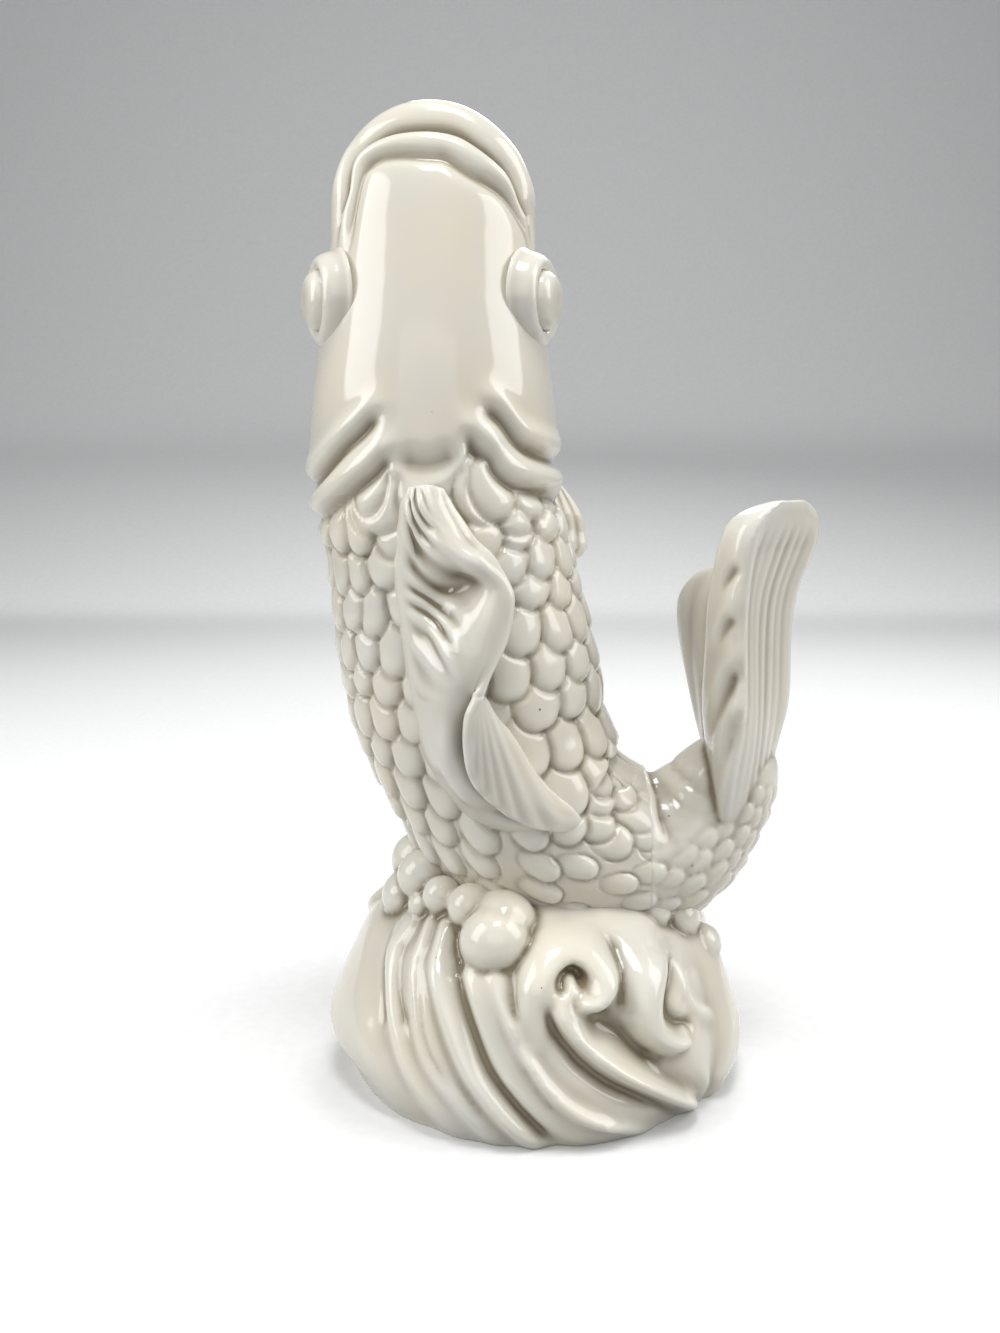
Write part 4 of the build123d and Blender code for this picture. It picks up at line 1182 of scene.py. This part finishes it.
class CARP_OT_waves(bpy.types.Operator):
    """Model the wave base with its curling crests and foam"""

    bl_idname = "carp.waves"
    bl_label = "Waves and foam"

    def execute(self, context):
        bearing = np.linspace(-math.pi, math.pi, 640, endpoint=False)
        profile = np.concatenate([
            [(0.925, 0.1)], np.stack([MOUND_SHARES[:, 1], MOUND_SHARES[:, 0] * MOUND_HEIGHT], -1)[1:-1],
            MOUND_CAP,
        ])
        section = np.concatenate([FOOT, resampled(profile, 250)])
        reach, rise = section[:, :1], section[:, 1:]
        points = np.stack([
            reach * BASE_WIDTH / 2 * np.cos(bearing), reach * BASE_DEPTH / 2 * np.sin(bearing),
            rise + 0 * bearing,
        ], -1)
        outward = np.stack([np.cos(bearing), np.sin(bearing), 0 * bearing], -1)[None]
        relief = soften(wave_relief(np.degrees(bearing), section[:, 1]), 5)
        for height, widths, line in WAVE_STROKES:
            path = np.array([on_mound(turn, z) for turn, z in line])
            relief += stroke(points, path, widths, height, 2.0, (0.15, 0.15))
        for roll in [ROLL + (turn, height, 0.0) for turn, height in ROLL_PLACES] + [DRIP]:
            path = on_mound(roll[:, 0], np.minimum(roll[:, 1], MOUND_HEIGHT))
            path[:, 2] = roll[:, 1]
            calm = stroke(points, path, roll[:, 2] * 1.25, 1.0, 4.0)
            crest = stroke(points, path, roll[:, 2], ROLL_HEIGHT, 2.6, (0.3, 0.12))
            relief = relief * (1 - 0.8 * calm) + crest
        for turn, height in ROLL_PLACES:
            hollow = HOLLOW + (turn, height, 0.0)
            path = on_mound(hollow[:, 0], hollow[:, 1])
            relief += stroke(points, path, hollow[:, 2], -HOLLOW_DEPTH, 2.2, (0.1, 0.1))
        # the left of the foot is tucked in, and the front runs out over the table a little
        degrees = np.degrees(bearing)[None, :]
        low = 1 - ease(rise, 0.0, 16.0)
        relief += 1.6 * np.exp(-(((degrees + 82) / 26) ** 2)) * low
        relief -= 3.6 * np.exp(-(((degrees + 158) / 20) ** 2)) * low
        relief += 1.6 * np.exp(-(((degrees + 165) / 24) ** 2)) * np.exp(-(((rise - 20) / 10) ** 2))
        spread = 0.35 + 0.65 * (ease(rise, -3.0, 4.0) * (1 - ease(rise, 54.0, 60.0)))
        # the underside keeps its place, and its rim goes along with the folds above it
        spread[:len(FOOT), 0] = (0.0, 0.0, 0.0, 0.2, 0.4, 0.5)
        parts = [closed_tube("carp_waves", points + outward * (relief * spread)[..., None])]
        for index, (turn, height, lift, radius) in enumerate(FOAM_BALLS):
            centre = on_mound(turn, min(height, MOUND_HEIGHT), lift)
            centre[2] = height
            parts.append(closed_tube(f"foam_{index}", ball_grid(centre, radius)))
        waves = melted(parts, context.scene.carp_sizes.clay_voxel, 4)
        finish_piece(waves, "wave", (
            "base_shell", "wave_curl_front", "wave_curl_right", "wave_curl_back", "wave_curl_left",
            "foam_left", "foam_front", "foam_right", "foam_back",
        ), 8)
        return {"FINISHED"}


def melted(parts, voxel, rounds):
    """Joins parts into one skin: a voxel remesh, then each point is averaged with its neighbours,
    so that the joins have the soft fillets of modelled clay."""
    name = parts[0].name
    points = []
    faces = []
    start = 0
    for part in parts:
        mesh = part.data
        points.append(spots_of(mesh))
        faces.extend([[corner + start for corner in face.vertices] for face in mesh.polygons])
        start += len(mesh.vertices)
        bpy.data.objects.remove(part)
        bpy.data.meshes.remove(mesh)
    joined = bpy.data.meshes.new(name)
    joined.from_pydata(np.concatenate(points).tolist(), [], faces)
    piece = placed(name, joined)
    remesh = piece.modifiers.new("Melt", "REMESH")
    remesh.mode = "VOXEL"
    remesh.voxel_size = voxel
    remesh.use_smooth_shade = True
    bpy.context.view_layer.update()
    graph = bpy.context.evaluated_depsgraph_get()
    piece.data = bpy.data.meshes.new_from_object(piece.evaluated_get(graph))
    piece.modifiers.clear()
    bpy.data.meshes.remove(joined)
    piece.data.name = name
    relax(piece.data, rounds)
    return piece


def relax(mesh, rounds):
    """Averages every point with its neighbours, alternately in and back out so nothing shrinks.
    The points that stand on the table keep their height."""
    spots = spots_of(mesh)
    here, there, degree = links_of(mesh)
    footing = spots[:, 2] < spots[:, 2].min() + 0.3 * MM
    for step in range(rounds * 2):
        pull = 0.6 if step % 2 == 0 else -0.5
        moved = spots + (mean_spots(spots, here, there, degree) - spots) * pull
        moved[footing, 2] = spots[footing, 2]
        spots = moved
    spots[:, 2] = np.maximum(spots[:, 2], 0.0)
    mesh.vertices.foreach_set("co", spots.ravel())
    mesh.update()


class CARP_OT_seams(bpy.types.Operator):
    """Give the slip in the joints its material"""

    bl_idname = "carp.seams"
    bl_label = "Slip seams"

    def execute(self, context):
        for name in ("neck_slip_seam", "tail_slip_seam"):
            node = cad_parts[name]
            node.data.materials.clear()
            node.data.materials.append(bpy.data.materials["dry_casting_slip"])
        return {"FINISHED"}


# Section of the studio floor from front to back and up, in metres
FLOOR_SWEEP = np.array([(-1.2, 0), (0.6, 0), (0.95, 0.03), (1.2, 0.16), (1.35, 0.45), (1.4, 1.6)])
# Lamps: place, width and height in metres, power in watts
LAMPS = {
    "overhead_softbox": ((0.02, -0.2, 1.05), 0.32, 0.32, 4.2),
    "left_softbox": ((-0.8, -0.24, 0.6), 0.5, 0.85, 5.8),
    "right_softbox": ((0.76, -0.14, 0.64), 0.5, 0.8, 5),
    "front_softbox": ((-0.1, -1.2, 0.7), 1.2, 0.8, 2.8),
    "back_softbox": ((0.15, 0.7, 0.75), 0.6, 0.3, 4),
}
LAMP_TARGET = (0.0, 0.0, 0.13)
# The photograph's camera: place in metres, tilt up from straight down in degrees, and focal length
# in pixels of a frame 1333 pixels high
CAMERA_PLACE = (-0.0107, -0.333, 0.1734)
CAMERA_TILT = 80.0
FOCAL_PIXELS = 1200
FRAME_HEIGHT = 1333


class CARP_OT_stage(bpy.types.Operator):
    """Set up the floor, the lamps and the camera"""

    bl_idname = "carp.stage"
    bl_label = "Stage"

    def execute(self, context):
        scene = context.scene
        line = resampled(FLOOR_SWEEP, 60)
        x = np.linspace(-1.8, 1.8, 13)
        points = np.stack(np.broadcast_arrays(x[None, :], line[:, :1], line[:, 1:]), -1).reshape(-1, 3)
        points[:, 2] = np.maximum(points[:, 2], 0.0)
        faces = quads(60, 13).reshape(59, 13, 4)[:, :-1].reshape(-1, 4)
        mesh = bpy.data.meshes.new("studio_floor")
        mesh.from_pydata(points.tolist(), [], faces.tolist())
        mesh.polygons.foreach_set("use_smooth", np.ones(len(faces), bool))
        floor = placed("studio_floor", mesh)
        # matt paper with a 4 mm mottle, pale to the eye and greyer to the light that it passes on
        tree = new_material("studio_paper")
        place = add_node(tree, "TexCoord").outputs["Object"]
        mottle = add_node(tree, "TexNoise", inputs={"Vector": place, "Scale": 1 / 0.004}).outputs["Fac"]
        pale = add_node(tree, "ValToRGB", inputs={"Fac": mottle}, stops=((0.3, "#EAEAEA"), (0.7, "#EEEEEE")))
        rays = add_node(tree, "LightPath").outputs
        seen = rays["Is Camera Ray"]
        for ray in ("Is Glossy Ray", "Is Transmission Ray"):
            both = add_node(tree, "Math", {"operation": "ADD", "use_clamp": True}, {0: seen, 1: rays[ray]})
            seen = both.outputs["Value"]
        tint = add_node(tree, "Mix", {"data_type": "RGBA"}, {
            "Factor": seen, "A": hex_colour("#9C9C9C"), "B": pale.outputs["Color"],
        }).outputs["Result"]
        shader = add_node(tree, "BsdfPrincipled", inputs={
            "Base Color": tint, "Roughness": 0.85, "Specular IOR Level": 0.2,
        })
        add_node(tree, "OutputMaterial", inputs={"Surface": shader.outputs["BSDF"]})
        mesh.materials.append(bpy.data.materials["studio_paper"])

        world = bpy.data.worlds.new("studio_air")
        world.use_nodes = True
        air = world.node_tree.nodes["Background"].inputs
        air["Color"].default_value = hex_colour("#E9EBEE")
        air["Strength"].default_value = 0.27
        scene.world = world
        for name, (place, wide, high, power) in LAMPS.items():
            lamp = bpy.data.lights.new(name, "AREA")
            lamp.shape = "RECTANGLE"
            lamp.size = wide
            lamp.size_y = high
            lamp.energy = power
            holder = placed(name, lamp)
            holder.location = place
            x, y, z = np.array(LAMP_TARGET) - np.array(place)
            holder.rotation_euler = (math.atan2(math.hypot(x, y), -z), 0.0, math.atan2(-x, y))

        camera = bpy.data.cameras.new("photo_camera")
        camera.sensor_width = 36.0
        camera.lens = camera.sensor_width * FOCAL_PIXELS / FRAME_HEIGHT
        eye = placed("photo_camera", camera)
        eye.location = CAMERA_PLACE
        eye.rotation_euler = (math.radians(CAMERA_TILT), 0.0, 0.0)
        scene.camera = eye
        scene.view_settings.view_transform = "Standard"
        return {"FINISHED"}


class CARP_PT_panel(bpy.types.Panel):
    """The steps that make the figurine"""

    bl_idname = "CARP_PT_panel"
    bl_label = "Glazed Carp"
    bl_space_type = "VIEW_3D"
    bl_region_type = "UI"
    bl_category = "Carp"

    def draw(self, context):
        for step in STEPS:
            self.layout.operator(step.bl_idname)
        for group in (context.scene.carp_sizes, context.scene.carp_colours):
            for name in group.__annotations__:
                self.layout.prop(group, name)


STEPS = (
    CARP_OT_glazes, CARP_OT_fish, CARP_OT_eyes, CARP_OT_dorsal_fin, CARP_OT_side_fins, CARP_OT_tail,
    CARP_OT_waves, CARP_OT_seams, CARP_OT_stage,
)
CLASSES = (CarpSizes, CarpColours) + STEPS + (CARP_PT_panel,)


def register():
    for one in CLASSES:
        bpy.utils.register_class(one)
    bpy.types.Scene.carp_sizes = bpy.props.PointerProperty(type=CarpSizes)
    bpy.types.Scene.carp_colours = bpy.props.PointerProperty(type=CarpColours)


def unregister():
    del bpy.types.Scene.carp_colours
    del bpy.types.Scene.carp_sizes
    for one in reversed(CLASSES):
        bpy.utils.unregister_class(one)


def main():
    register()
    bpy.ops.carp.glazes()
    bpy.ops.carp.fish()
    bpy.ops.carp.eyes()
    bpy.ops.carp.dorsal_fin()
    bpy.ops.carp.side_fins()
    bpy.ops.carp.tail()
    bpy.ops.carp.waves()
    bpy.ops.carp.seams()
    bpy.ops.carp.stage()


if __name__ == "__main__":
    main()
